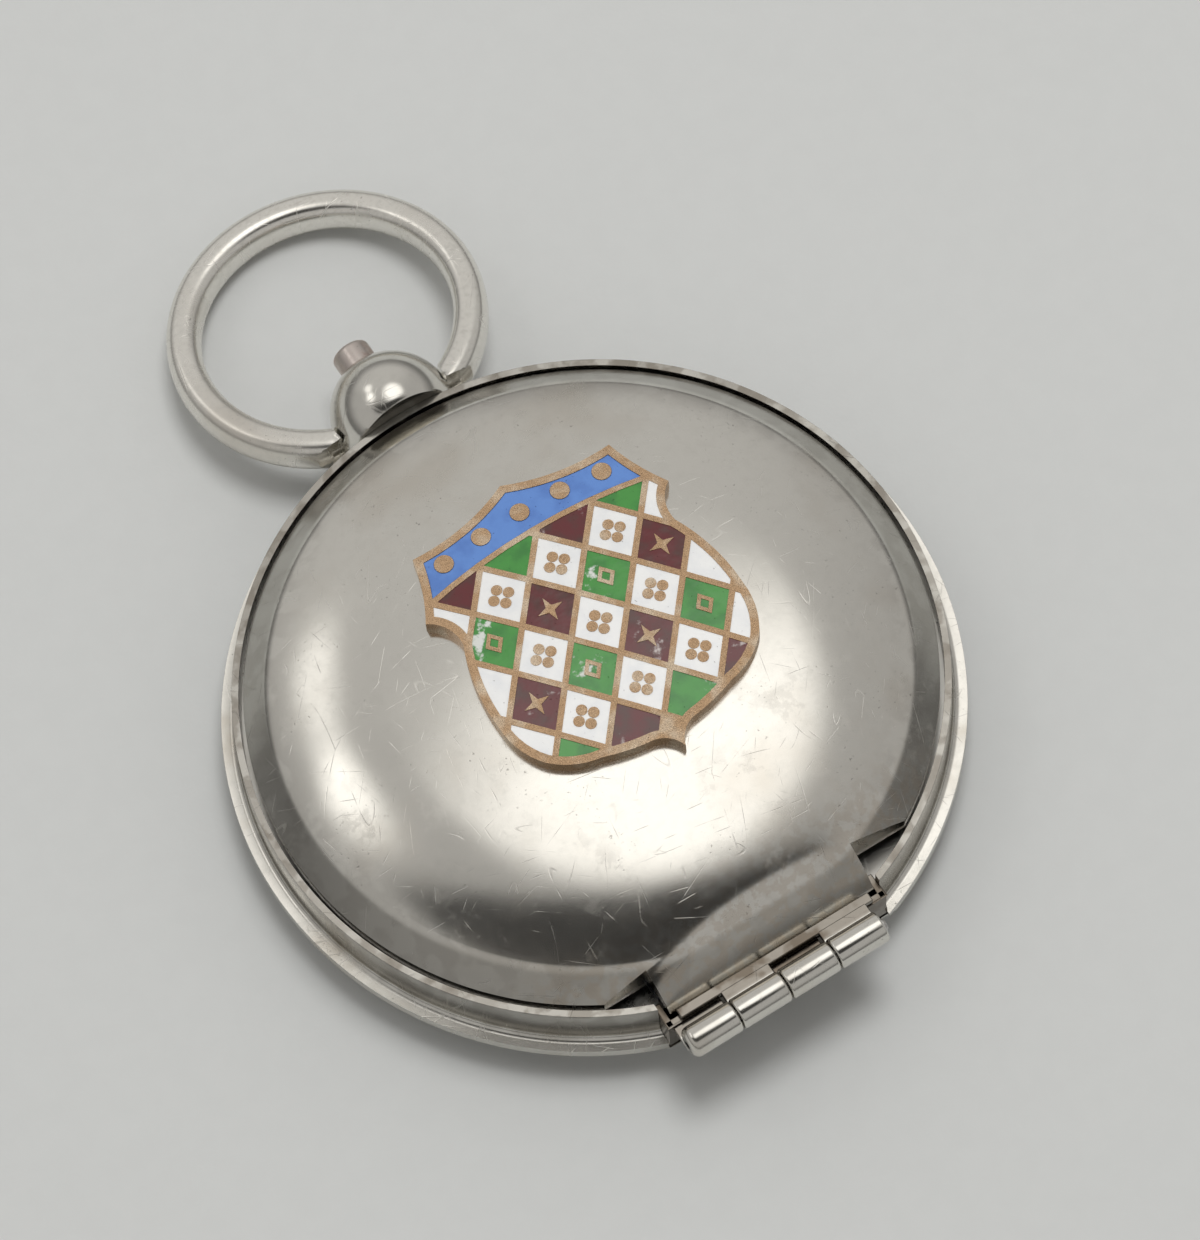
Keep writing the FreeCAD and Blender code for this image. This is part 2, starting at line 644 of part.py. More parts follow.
def bow_ring():
    low, high = "(bow_radius - bow_width / 2)", "(bow_radius + bow_width / 2)"
    half = "(bow_thickness / 2)"
    loop = turned("bow_loop", [
        (f"{low} + bow_round", f"-{half}"), (f"{high} - bow_round", f"-{half}"),
        (high, f"-{half} + bow_round"), (high, f"{half} - bow_round"),
        (f"{high} - bow_round", half), (f"{low} + bow_round", half),
        (low, f"{half} - bow_round"), (low, f"-{half} + bow_round"),
    ], {1: ("bow_round", -1), 3: ("bow_round", -1), 5: ("bow_round", -1), 7: ("bow_round", -1)})
    ball_room = ball("bow_ball_room", "ball_radius + bow_gap", "0", "-bow_offset", "0")
    heel = block("bow_heel_cut", ("4 * bow_radius", "bow_radius", "4 * bow_thickness"), "-2 * bow_radius",
                 "-bow_offset - bow_heel - bow_radius", "-2 * bow_thickness")
    loop_open = cut("bow_loop_open", loop, ball_room, heel)
    pin_length = "(ball_radius + bow_gap - bow_pin_inner + bow_pin_root)"
    left_pin = rod("bow_left_pin", "bow_pin_radius", pin_length, f"-bow_pin_inner - {pin_length}",
                   "-bow_offset", "0", "x")
    right_pin = rod("bow_right_pin", "bow_pin_radius", pin_length, "bow_pin_inner", "-bow_offset", "0", "x")
    bow = fuse("bow_ring", loop_open, left_pin, right_pin)
    bow.Placement = Placement(Vector(), Rotation(Vector(-1, 0, 0), value("bow_tilt")))
    bow.setExpression("Placement.Rotation.Angle", bound("bow_tilt"))
    return keep(place(bow, "0", f"{pendant_reach} + bow_offset * cos(bow_tilt)",
                      "pendant_height - bow_offset * sin(bow_tilt)"))


# Catch

def lock_rivet_x():
    return f"({lock_rivet_reach} * cos(lock_foot_angle))"


def lock_rivet_y():
    return f"({lock_rivet_reach} * sin(lock_foot_angle))"


def lock_spring():
    low = f"({plate_under} - lock_plate_gap - lock_strip_height)"
    outer = rod("lock_outer", f"{lock_radius} + spring_wall / 2", "lock_strip_height", "0", "0", low)
    inner = rod("lock_inner", f"{lock_radius} - spring_wall / 2", "lock_strip_height * 3", "0", "0",
                f"{low} - lock_strip_height")
    sector = wedge("lock_sector", "lock_tip_angle", "lock_foot_angle", "bead_radius", low, "rim_height * 4")
    strip = shared("lock_strip", cut("lock_ring", outer, inner), sector)
    foot = rod("lock_foot", "lock_foot_radius", "lock_strip_height", lock_rivet_x(), lock_rivet_y(), low)
    tongue = block("lock_tongue", ("2 * tongue_half", "spring_wall", f"{nose_top} - {low}"), "-tongue_half",
                   f"{lock_radius} - spring_wall / 2", low)
    nose = block("lock_nose", ("2 * tongue_half", "spring_wall + nose_reach", "nose_wall"), "-tongue_half",
                 f"{lock_radius} - spring_wall / 2", f"{nose_top} - nose_wall")
    hole = rod("lock_hole", "rivet_radius + rivet_clearance", "lock_strip_height * 3", lock_rivet_x(),
               lock_rivet_y(), f"{low} - lock_strip_height")
    return keep(cut("lock_spring", fuse("lock_solid", strip, foot, tongue, nose), hole))


def lock_spring_rivet():
    low = f"({plate_under} - lock_plate_gap - lock_strip_height - rivet_gap)"
    shank = rod("lock_rivet_shank", "rivet_radius", f"{plate_top} - {low}", lock_rivet_x(), lock_rivet_y(),
                low)
    top_head = rod("lock_rivet_top", "rivet_head_radius", "rivet_head", lock_rivet_x(), lock_rivet_y(),
                   plate_top)
    low_head = rod("lock_rivet_low", "rivet_head_radius", "rivet_head", lock_rivet_x(), lock_rivet_y(),
                   f"{low} - rivet_head")
    return keep(fuse("lock_spring_rivet", shank, top_head, low_head))


# Lift spring

def lift_spring():
    foot_low = f"({plate_top} + lift_standoff)"
    tip_top = f"({hinge_height} - leaf_wall - lift_gap)"
    left, right = "(lift_root - lift_foot_half)", "(lift_root + lift_foot_half)"
    tip = "(lift_root + lift_length)"
    blade = raised("lift_blade", "XZ_Plane", [
        (left, foot_low), (right, foot_low), (f"{tip} - lift_pad", f"{tip_top} - lift_wall"),
        (tip, f"{tip_top} - lift_wall"), (tip, tip_top), (f"{tip} - lift_pad", tip_top),
        (right, f"{foot_low} + lift_wall"), (left, f"{foot_low} + lift_wall"),
    ], "lift_width", None, f"{lift_reach} - lift_width / 2")
    hole = rod("lift_hole", "rivet_radius + rivet_clearance", "rim_height", "lift_root", f"-{lift_reach}",
               plate_top)
    return keep(cut("lift_spring", blade, hole))


def lift_spring_rivet():
    shank = rod("lift_rivet_shank", "rivet_radius",
                "plate_wall + lift_standoff + lift_wall + rivet_gap", "lift_root", f"-{lift_reach}",
                plate_under)
    collar = rod("lift_rivet_collar", "rivet_head_radius - lift_rivet_inset",
                 "lift_standoff - lift_collar_gap", "lift_root",
                 f"-{lift_reach}", plate_top)
    head = rod("lift_rivet_head", "rivet_head_radius - lift_rivet_inset", "rivet_head", "lift_root",
               f"-{lift_reach}", f"{plate_top} + lift_standoff + lift_wall + rivet_gap")
    return keep(fuse("lift_spring_rivet", shank, collar, head))


# Badge: a plain heraldic shield with a lozenge field under a band of roundels

def badge_outline():
    """The shield's corners as shares of its half width and half height, from the top peak down
    one side to the tip and back up the other, and the bend that leaves each."""
    half = [(0, 1), (0.81, 0.88), (1, 0.48), (0.87, 0.24), (1, -0.32), (0.87, -0.65), (0.53, -0.8),
            (0.2, -0.87), (0, -1)]
    bends = [(1.25, -1), (1.25, -1), (0.24, -1), (1.25, 1), (0.5, 1), (0.5, 1), (1.25, 1), (0.18, -1)]
    corners = [(f"badge_shift_x + {across} * badge_half_width", f"badge_shift_y + {up} * badge_half_height")
               for across, up in half + [(-across, up) for across, up in half[-2:0:-1]]]
    arcs = {}
    for number, (share, side) in enumerate(bends):
        arcs[number] = arcs[len(corners) - 1 - number] = (f"{share} * badge_half_height", side)
    return corners, arcs


def badge_layer(label, solid, top_drop, depth=None):
    """The part of a prism between the badge's crown less top_drop and either the lid or a depth."""
    top = ball(label + "_crown", f"dome_radius + badge_height - {top_drop}", "0", "0", dome_centre)
    layer = shared(label + "_capped", solid, top)
    if depth:
        under = ball(label + "_floor", f"dome_radius + badge_height - {top_drop} - {depth}", "0", "0",
                     dome_centre)
    else:
        under = dome_roof(label + "_floor", "0")
    return cut(label, layer, under)


def flat(points):
    """A plan face from points about the badge's centre, level with the rim."""
    shift = Vector(value("badge_shift_x"), value("badge_shift_y"), value(rim_top))
    corners = [Vector(x, y, 0) + shift for x, y in points]
    return Part.Face(Part.makePolygon(corners + corners[:1]))


def flat_disc(x, y, radius):
    centre = Vector(x + value("badge_shift_x"), y + value("badge_shift_y"), value(rim_top))
    return Part.Face(Part.Wire(Part.makeCircle(radius, centre)))


def quatrefoil(x, y):
    reach, radius = value("petal_reach"), value("petal_radius")
    return [flat_disc(x + reach * math.cos(turn), y + reach * math.sin(turn), radius)
            for turn in (0, math.pi / 2, math.pi, 3 * math.pi / 2)]


def star(x, y):
    long_ray, short_ray = value("petal_reach + petal_radius"), value("petal_radius * star_waist")
    points = []
    for step in range(8):
        ray, turn = (short_ray if step % 2 else long_ray), math.pi / 4 * step
        points.append((x + ray * math.cos(turn), y + ray * math.sin(turn)))
    return [flat(points)]


def diamond(x, y, across, up):
    return flat([(x + across, y), (x, y + up), (x - across, y), (x, y - up)])


def small_lozenge(x, y):
    across, up = value("petal_reach * 1.2"), value("petal_reach * 1.5")
    return [diamond(x, y, across, up).cut(diamond(x, y, across / 2, up / 2))]


def chief_line(x, shift):
    """Height of the line under the band of roundels, about the badge's centre."""
    low, rise, half_width = value("chief_height"), value("chief_rise"), value("badge_half_width")
    return low + rise * (1 - (x / half_width) ** 2) + shift


def enamel_faces(field):
    """Plan faces of each enamel colour: a band over a field of lozenges, less the motifs."""
    width, height, wire = value("lozenge_width"), value("lozenge_height"), value("wire_wall")
    reach = value("badge_half_height") + 1
    steps = [-reach + reach * step / 6 for step in range(13)]
    above = flat([(x, chief_line(x, wire / 2)) for x in steps] + [(reach, reach), (-reach, reach)])
    below = flat([(x, chief_line(x, -wire / 2)) for x in steps] + [(reach, -reach), (-reach, -reach)])
    pitch, radius = value("roundel_pitch"), value("roundel_radius")
    roundels = [flat_disc(number * pitch, chief_line(number * pitch, value("roundel_lift")), radius)
                for number in range(-2, 3)]
    faces = {"blue": [field.common(above).cut(roundels)], "white": [], "green": [], "maroon": []}
    lower_field = field.common(below)
    slant = math.hypot(width, height)
    rows = math.ceil(reach / height + reach / width)
    across, up = (width - wire * slant / height) / 2, (height - wire * slant / width) / 2
    for first in range(-rows, rows + 1):
        for second in range(-rows, rows + 1):
            x, y = (first - second) * width / 2, (first + second) * height / 2 + value("lozenge_shift")
            if abs(x) > reach or abs(y) > reach:
                continue
            cell = lower_field.common(diamond(x, y, across, up))
            share = cell.Area / (2 * across * up)
            if share < value("lozenge_sliver"):
                continue
            colour = "white" if (first + second) % 2 == 0 else ("green" if first % 2 else "maroon")
            if share > value("lozenge_whole"):
                motif = {"white": quatrefoil, "green": small_lozenge, "maroon": star}[colour](x, y)
                cell = cell.cut(motif)
            faces[colour].append(cell)
    return faces


def badge():
    corners, arcs = badge_outline()
    tall = "(dome_rise + 3 * badge_height)"
    shield = raised("badge_blank", "XY_Plane", corners, tall, arcs, rim_top)
    solid = badge_layer("badge_solid", shield, "0")
    inside = doc.addObject("Part::Offset2D", "badge_inside")
    inside.Source = shield.Group[0]
    inside.setExpression("Value", bound("-badge_border"))
    doc.recompute()
    field = Part.Face(inside.Shape.Wires[0])
    upward = Vector(0, 0, value(tall))
    plate = solid.Shape
    for colour, faces in enamel_faces(field).items():
        columns = [face.extrude(upward) for group in faces for face in group.Faces]
        columns = Part.makeCompound(columns)
        fill = badge_layer(f"{colour}_fill", shaped(f"{colour}_columns", columns), "enamel_sink",
                           "enamel_depth")
        room = badge_layer(f"{colour}_room", fill.Base.Base, "0", "(enamel_depth + enamel_sink)")
        plate = plate.cut(room.Shape.Solids)
        keep(shaped(f"enamel_{colour}", fill.Shape))
    keep(shaped("badge_plate", plate))


back_shell()
case_band()
base_hinge_leaf()
hinge_pin()
inner_plate()
coin_retainer()
platform_spring()
coin_platform()
pendant_ball()
push_button()
button_washer()
bow_ring()
lock_spring()
lock_spring_rivet()
lift_spring()
lift_spring_rivet()
lid_shell()
lid_hinge_leaf()
catch_lug()
badge()

doc.recompute()
faults = [thing.Label for thing in doc.Objects if "Invalid" in thing.State or "Error" in thing.State]
for piece in parts:
    if piece.Shape.isNull() or not piece.Shape.isValid() or not piece.Shape.Solids:
        faults.append(piece.Label + " shape")
if faults:
    raise RuntimeError("faulty: " + ", ".join(faults))

os.makedirs("parts", exist_ok=True)
for piece in parts:
    piece.Shape.exportStep(f"parts/{piece.Label}.step")
    print(piece.Label, len(piece.Shape.Solids), "solids", round(piece.Shape.Volume, 3), "mm3")
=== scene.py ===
import bpy
import bmesh
import math
from mathutils import Matrix, Vector


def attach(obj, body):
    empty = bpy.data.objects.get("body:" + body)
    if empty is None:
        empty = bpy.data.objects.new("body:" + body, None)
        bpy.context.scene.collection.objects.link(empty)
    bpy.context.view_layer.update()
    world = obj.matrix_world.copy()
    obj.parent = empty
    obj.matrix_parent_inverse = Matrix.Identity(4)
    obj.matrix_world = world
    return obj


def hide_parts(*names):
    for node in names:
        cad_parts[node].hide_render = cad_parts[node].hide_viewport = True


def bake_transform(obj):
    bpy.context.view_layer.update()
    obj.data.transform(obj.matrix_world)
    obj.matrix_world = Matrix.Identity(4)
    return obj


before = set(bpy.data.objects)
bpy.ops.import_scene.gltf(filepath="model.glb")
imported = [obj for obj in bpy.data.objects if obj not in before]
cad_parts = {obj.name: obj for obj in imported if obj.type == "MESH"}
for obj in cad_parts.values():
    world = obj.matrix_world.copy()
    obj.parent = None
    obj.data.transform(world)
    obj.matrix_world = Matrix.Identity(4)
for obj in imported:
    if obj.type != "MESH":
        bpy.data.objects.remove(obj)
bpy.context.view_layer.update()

# A pocket case for one gold coin: domed lid with a shield badge, pendant, button and bow.
# Sizes in the dictionaries are millimetres in the frame's own axes; meshes end up in metres.
mm = 0.001
onPlane = 1e-3  # a point this near to a plane counts as on it
weld = {"profile": 1e-4, "piece": 2e-4, "node": 1e-6}  # merging distances, the node's in metres
hingeY, hingeZ = -15.9, 4.1  # the line that the lid turns about


# mesh helpers

def vertsOf(parts):
    return [part for part in parts if isinstance(part, bmesh.types.BMVert)]


def edgesOf(parts):
    return [part for part in parts if isinstance(part, bmesh.types.BMEdge)]


def lineTo(bm, start, x, z):
    end = bm.verts.new((x, 0, z))
    bm.edges.new((start, end))
    return end


# carries a profile on round a centre in the XZ plane; a positive angle leans +Z towards +X
def arcTo(bm, start, centre, angle, steps):
    swept = bmesh.ops.spin(bm, geom=[start], cent=(centre[0], 0, centre[1]), axis=(0, 1, 0),
                           angle=angle, steps=steps)
    return vertsOf(swept["geom_last"])[0]


def spinProfile(bm, steps):
    bmesh.ops.spin(bm, geom=bm.verts[:] + bm.edges[:], cent=(0, 0, 0), axis=(0, 0, 1),
                   angle=2 * math.pi, steps=steps, use_merge=True)
    bmesh.ops.remove_doubles(bm, verts=bm.verts, dist=weld["profile"])


# splits the faces that wanted picks along a plane; clear drops the side the normal points to
def cutAway(bm, point, normal, wanted=None, clear=True):
    faces = [face for face in bm.faces if wanted is None or wanted(face.calc_center_median())]
    parts = faces + [e for f in faces for e in f.edges] + [v for f in faces for v in f.verts]
    bmesh.ops.bisect_plane(bm, geom=list(dict.fromkeys(parts)), plane_co=point, plane_no=normal,
                           clear_outer=clear)


def closeHoles(bm):
    bmesh.ops.holes_fill(bm, edges=[edge for edge in bm.edges if edge.is_boundary], sides=0)


def addBar(bm, low, high):
    made = bmesh.ops.create_cube(bm, size=1)
    middle = (Vector(low) + Vector(high)) / 2
    bmesh.ops.scale(bm, vec=Vector(high) - Vector(low), verts=made["verts"])
    bmesh.ops.translate(bm, vec=middle, verts=made["verts"])


# a round bar that runs from start towards +X
def addRod(bm, start, length, radius, segments):
    made = bmesh.ops.create_cone(bm, cap_ends=True, segments=segments, radius1=radius, radius2=radius,
                                 depth=length)
    bmesh.ops.transform(bm, matrix=Matrix.Rotation(math.pi / 2, 4, "Y"), verts=made["verts"])
    bmesh.ops.translate(bm, vec=Vector(start) + Vector((length / 2, 0, 0)), verts=made["verts"])


# lays a part that was turned about Z down so that it points along +Y
def layDown(bm):
    bmesh.ops.rotate(bm, cent=(0, 0, 0), matrix=Matrix.Rotation(-math.pi / 2, 3, "X"), verts=bm.verts)


def addObject(bm, name, material):
    mesh = bpy.data.meshes.new(name)
    bm.to_mesh(mesh)
    bm.free()
    mesh.materials.append(material)
    made = bpy.data.objects.new(name, mesh)
    bpy.context.scene.collection.objects.link(made)
    return made


def smooth(piece, sharp):
    piece.data.shade_smooth()
    piece.data.set_sharp_from_angle(angle=math.radians(sharp))


def addEdges(piece, width, steps, sharp):
    edge = piece.modifiers.new("Edge", "BEVEL")
    edge.width, edge.segments, edge.limit_method = width * mm, steps, "ANGLE"
    edge.angle_limit = math.radians(sharp)


# turns a bmesh in millimetres into a piece of the object that stands for its CAD node
def finishPiece(bm, name, body, material, replaced, wall=0, edge=0, edgeSteps=2, sharp=32):
    bmesh.ops.remove_doubles(bm, verts=bm.verts, dist=weld["piece"])
    bmesh.ops.recalc_face_normals(bm, faces=bm.faces)
    if wall:
        highest = max(bm.faces, key=lambda face: face.calc_center_median().z)
        if highest.normal.z < 0:
            bmesh.ops.reverse_faces(bm, faces=bm.faces)
    bmesh.ops.scale(bm, vec=(mm, mm, mm), verts=bm.verts)
    piece = addObject(bm, name, material)
    smooth(piece, sharp)
    if wall:
        shell = piece.modifiers.new("Wall", "SOLIDIFY")
        shell.thickness, shell.offset, shell.use_even_offset = wall * mm, -1, True
    if edge:
        addEdges(piece, edge, edgeSteps, sharp)
    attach(piece, body)
    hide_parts(*replaced)


# material helpers

def newMaterial(name, metallic, roughness):
    material = bpy.data.materials.new(name)
    material.use_nodes = True
    tree = material.node_tree
    shader = tree.nodes["Principled BSDF"]
    shader.inputs["Metallic"].default_value = metallic
    shader.inputs["Roughness"].default_value = roughness
    place = tree.nodes.new("ShaderNodeTexCoord").outputs["Object"]
    return material, tree, shader, place


# noise whose blotches are about size millimetres; three sizes stretch it along its turned axes
def grain(tree, place, size, detail, turn=(0, 0, 0), rough=0.5):
    lengths = size if isinstance(size, tuple) else (size, size, size)
    mapping = tree.nodes.new("ShaderNodeMapping")
    mapping.vector_type = "TEXTURE"
    mapping.inputs["Rotation"].default_value = turn
    mapping.inputs["Scale"].default_value = [length * mm for length in lengths]
    tree.links.new(place, mapping.inputs["Vector"])
    texture = tree.nodes.new("ShaderNodeTexNoise")
    texture.inputs["Scale"].default_value = 1
    texture.inputs["Detail"].default_value = detail
    texture.inputs["Roughness"].default_value = rough
    tree.links.new(mapping.outputs["Vector"], texture.inputs["Vector"])
    return texture.outputs["Fac"]


# a smooth step from 0 at low to 1 at high, or between two other values
def remap(tree, source, low, high, toLow=0.0, toHigh=1.0):
    node = tree.nodes.new("ShaderNodeMapRange")
    node.interpolation_type = "SMOOTHSTEP"
    for socket, amount in zip(("From Min", "From Max", "To Min", "To Max"), (low, high, toLow, toHigh)):
        node.inputs[socket].default_value = amount
    tree.links.new(source, node.inputs["Value"])
    return node.outputs["Result"]


def combine(tree, kind, first, second=0):
    node = tree.nodes.new("ShaderNodeMath")
    node.operation = kind
    for socket, source in zip(node.inputs, (first, second)):
        if isinstance(source, (int, float)):
            socket.default_value = source
        else:
            tree.links.new(source, socket)
    return node.outputs["Value"]


def mixColour(tree, share, first, second):
    node = tree.nodes.new("ShaderNodeMix")
    node.data_type = "RGBA"
    tree.links.new(share, node.inputs["Factor"])
    for name, source in (("A", first), ("B", second)):
        socket = [s for s in node.inputs if s.name == name and s.type == "RGBA"][0]
        if isinstance(source, tuple):
            socket.default_value = (*source, 1)
        else:
            tree.links.new(source, socket)
    return [s for s in node.outputs if s.type == "RGBA"][0]


# a height of 0 to 1 as a bump depth millimetres high
def emboss(tree, shader, height, depth):
    bump = tree.nodes.new("ShaderNodeBump")
    bump.inputs["Distance"].default_value = depth * mm
    tree.links.new(height, bump.inputs["Height"])
    tree.links.new(bump.outputs["Normal"], shader.inputs["Normal"])


# fine scratches: thin level lines of a stretched noise, broken up by a coarser one
def scratches(tree, place, turn, size, thin, shift, look):
    lines = grain(tree, place, size, 0.0, turn)
    away = combine(tree, "ABSOLUTE", combine(tree, "SUBTRACT", lines, 0.5 + shift))
    line = remap(tree, away, 0.0, thin, 1.0, 0.0)
    patches = grain(tree, place, look["scratchPatch"], 1.0, (shift * 9, 0.3, 0.7))
    return combine(tree, "MULTIPLY", line, remap(tree, patches, *look["scratchAt"]))


# distance in metres along y or z, or out from the lid's centre line (r) or from the hinge's line
def distance(tree, place, axis):
    if axis in "yz":
        node = tree.nodes.new("ShaderNodeSeparateXYZ")
        tree.links.new(place, node.inputs["Vector"])
        return node.outputs[axis.upper()]
    fromHinge = axis == "hinge"
    moved = tree.nodes.new("ShaderNodeVectorMath")
    moved.operation = "MULTIPLY_ADD"
    moved.inputs[1].default_value = (0, 1, 1) if fromHinge else (1, 1, 0)
    moved.inputs[2].default_value = (0, -hingeY * mm, -hingeZ * mm) if fromHinge else (0, 0, 0)
    tree.links.new(place, moved.inputs[0])
    length = tree.nodes.new("ShaderNodeVectorMath")
    length.operation = "LENGTH"
    tree.links.new(moved.outputs["Vector"], length.inputs[0])
    return length.outputs["Value"]


# mixes each zone's colour in where a distance passes from low to high, broken up by blotches; the zones hold
# real stains and lacquer, and painted shade
def zoned(tree, place, colour, look):
    for axis, low, high, stainAndShade, share, blotch in look["zones"]:
        mask = remap(tree, distance(tree, place, axis), low * mm, high * mm, 0.0, share)
        if blotch:
            broken = remap(tree, grain(tree, place, blotch, 3.0), *look["zoneAt"])
            mask = combine(tree, "MULTIPLY", mask, broken)
        colour = mixColour(tree, mask, colour, stainAndShade)
    return colour


# nickel plate: warm grey metal with handling marks, fine scratches, specks and a faint tarnish, and zones
# that add lacquer, dirt and painted shade
def plated(name, look):
    material, tree, shader, place = newMaterial(name, 1.0, look["roughness"])
    blotch = grain(tree, place, look["blotch"], 3.0, rough=0.6)
    fine = grain(tree, place, look["mottle"], 4.0, rough=0.65)
    tarnish = remap(tree, blotch, *look["tarnishAt"], 0.0, look["tarnish"])
    colour = mixColour(tree, tarnish, look["colour"], look["tarnishColour"])
    dull = remap(tree, fine, *look["mottleAt"], 0.0, look["mottleShare"])
    colour = mixColour(tree, dull, colour, look["dull"])
    specks = remap(tree, grain(tree, place, look["speck"], 2.0), *look["speckAt"])
    groups = remap(tree, grain(tree, place, look["speckGroup"], 2.0), *look["groupAt"])
    specks = combine(tree, "MULTIPLY", specks, groups)
    share = combine(tree, "MULTIPLY", specks, look["speckShare"])
    colour = mixColour(tree, share, colour, look["speckColour"])
    tree.links.new(zoned(tree, place, colour, look), shader.inputs["Base Color"])
    marks = None
    for angle, size, thin, shift in look["scratches"]:
        layer = scratches(tree, place, (0, 0, math.radians(angle)), size, thin, shift, look)
        marks = layer if marks is None else combine(tree, "MAXIMUM", marks, layer)
    rough = remap(tree, blotch, 0.3, 0.7, look["roughness"] - look["roughSpread"],
                  look["roughness"] + look["roughSpread"])
    rough = combine(tree, "ADD", rough, combine(tree, "MULTIPLY", fine, look["mottleRough"]))
    rough = combine(tree, "ADD", rough, combine(tree, "MULTIPLY", marks, look["scratchRough"]))
    if look["smudge"]:
        smudge = remap(tree, grain(tree, place, look["smudge"], 6.0, rough=0.7), *look["smudgeAt"])
        smudge = combine(tree, "MULTIPLY", smudge, remap(tree, blotch, 0.4, 0.6))
        rough = combine(tree, "ADD", rough, combine(tree, "MULTIPLY", smudge, look["smudgeRough"]))
    tree.links.new(rough, shader.inputs["Roughness"])
    height = combine(tree, "SUBTRACT", combine(tree, "MULTIPLY", fine, look["grainShare"]), marks)
    height = combine(tree, "SUBTRACT", height, combine(tree, "MULTIPLY", specks, look["speckDepth"]))
    emboss(tree, shader, height, look["bump"])
    return material


# sizes in millimetres; a pair named At gives a noise's levels where a mark starts and is full
plateLook = {
    "colour": (0.7, 0.68, 0.63), "dull": (0.56, 0.545, 0.5), "tarnishColour": (0.48, 0.42, 0.34),
    "speckColour": (0.22, 0.21, 0.19), "speckShare": 0.55, "speck": 0.16, "speckAt": (0.66, 0.76),
    "speckGroup": 3.0, "groupAt": (0.45, 0.62), "speckDepth": 0.8,
    "roughness": 0.14, "roughSpread": 0.03, "mottleRough": 0.07, "scratchRough": 0.14,
    "blotch": 7.0, "tarnish": 0.4, "tarnishAt": (0.5, 0.78),
    "mottle": 0.5, "mottleShare": 0.3, "mottleAt": (0.42, 0.75),
    # each layer: direction in degrees, stretched sizes, width of a line, shift of its level
    "scratches": [(20, (11.0, 1.5, 9.0), 0.006, 0.0), (-38, (10.0, 1.1, 9.0), 0.006, 0.03),
                  (75, (9.0, 1.3, 9.0), 0.007, -0.04), (-80, (12.0, 1.7, 9.0), 0.005, 0.05),
                  (50, (8.0, 0.9, 9.0), 0.006, -0.02), (-10, (9.0, 1.0, 9.0), 0.006, 0.02)],
    "scratchPatch": 1.1, "scratchAt": (0.52, 0.7), "grainShare": 0.35, "bump": 0.002,
    "smudge": 0, "smudgeAt": (0.53, 0.6), "smudgeRough": 0.07, "zones": [], "zoneAt": (0.44, 0.56),
}
# the first colour is painted shade: a grey laid on steep sides, walls and rim tops in place of the darker
# surroundings they would mirror
# the second colour is a dark brown used as dirt and as painted shade in gaps; the third is lacquer
paintedShadeGrey, dirtAndPaintedShade, lacquer = (0.42, 0.405, 0.37), (0.08, 0.055, 0.032), (0.42, 0.31, 0.2)
# each zone: the distance it goes by, where it starts and is full, colour, share, size of blotches
# lid: painted shade grey on the steep side past the shoulder and on the flap's wall, painted shade near black
# and in blotches on the skirt that sits in the gap below the band's rim, a little blotchy dirt towards the
# shoulder, and lacquer by the hinge
lidZones = [("r", 13.45, 13.75, paintedShadeGrey, 0.8, 0), ("y", -12.9, -13.2, paintedShadeGrey, 0.75, 0),
            ("z", 4.02, 3.8, dirtAndPaintedShade, 0.85, 0.35), ("r", 12.2, 13.6, dirtAndPaintedShade, 0.12, 1.2),
            ("hinge", 6.5, 4.0, lacquer, 0.22, 0.45)]
# band: painted shade grey on the wall above the bead and again at the rim, and blotchy darkening on the rim
# top and inward of 15.4 mm from the centre line
bandZones = [("z", 2.1, 2.4, paintedShadeGrey, 0.8, 0), ("z", 4.1, 4.22, paintedShadeGrey, 0.85, 0),
             ("z", 4.12, 4.24, dirtAndPaintedShade, 0.4, 1.1), ("r", 15.4, 15.05, dirtAndPaintedShade, 0.25, 2.0)]
# hinge: painted shade grey on the leaves and box away from the knuckles, and darker still there, evenly and
# in blotches
hingeZones = [("hinge", 0.72, 0.9, paintedShadeGrey, 0.9, 0), ("hinge", 0.71, 0.8, dirtAndPaintedShade, 0.55, 0),
              ("hinge", 0.71, 0.95, dirtAndPaintedShade, 0.6, 1.6)]
lidPlate = plated("lidPlate", {**plateLook, "mottleShare": 0.2, "smudge": 1.6, "zones": lidZones})
bandPlate = plated("bandPlate", {**plateLook, "roughness": 0.2, "tarnish": 0.7, "blotch": 3.5,
                                 "zones": bandZones})
hingeNickel = plated("hingeNickel", {**plateLook, "blotch": 2.5, "tarnish": 0.3, "zones": hingeZones})
innerPlate = plated("innerPlate", {**plateLook, "roughness": 0.26, "colour": (0.6, 0.59, 0.56)})
satinNickel = plated("satinNickel", {**plateLook, "roughness": 0.21, "roughSpread": 0.05, "mottle": 0.3,
                                     "colour": (0.84, 0.815, 0.76), "bump": 0.005, "tarnish": 0.35})
brightNickel = plated("brightNickel", {**plateLook, "roughness": 0.13, "speckShare": 0.3, "blotch": 2.5})
buttonMetal = plated("buttonMetal", {**plateLook, "colour": (0.62, 0.55, 0.51), "roughness": 0.3,
                                     "tarnishColour": (0.45, 0.28, 0.22), "tarnish": 0.9, "blotch": 0.8})
pinSteel = plated("pinSteel", {**plateLook, "colour": (0.5, 0.49, 0.48), "roughness": 0.28, "blotch": 1.5})
springSteel = plated("springSteel", {**plateLook, "colour": (0.33, 0.36, 0.42), "roughness": 0.3,
                                     "tarnishColour": (0.3, 0.2, 0.14)})
print("materials: plate and steel ready")


giltLook = {"colour": (0.6, 0.4, 0.24), "worn": (0.76, 0.61, 0.45), "dirt": (0.17, 0.1, 0.055),
            "grain": 0.06, "blotch": 1.2, "dirtShare": 0.7, "roughness": 0.36, "roughAt": (0.2, 0.45),
            "bump": 0.03}


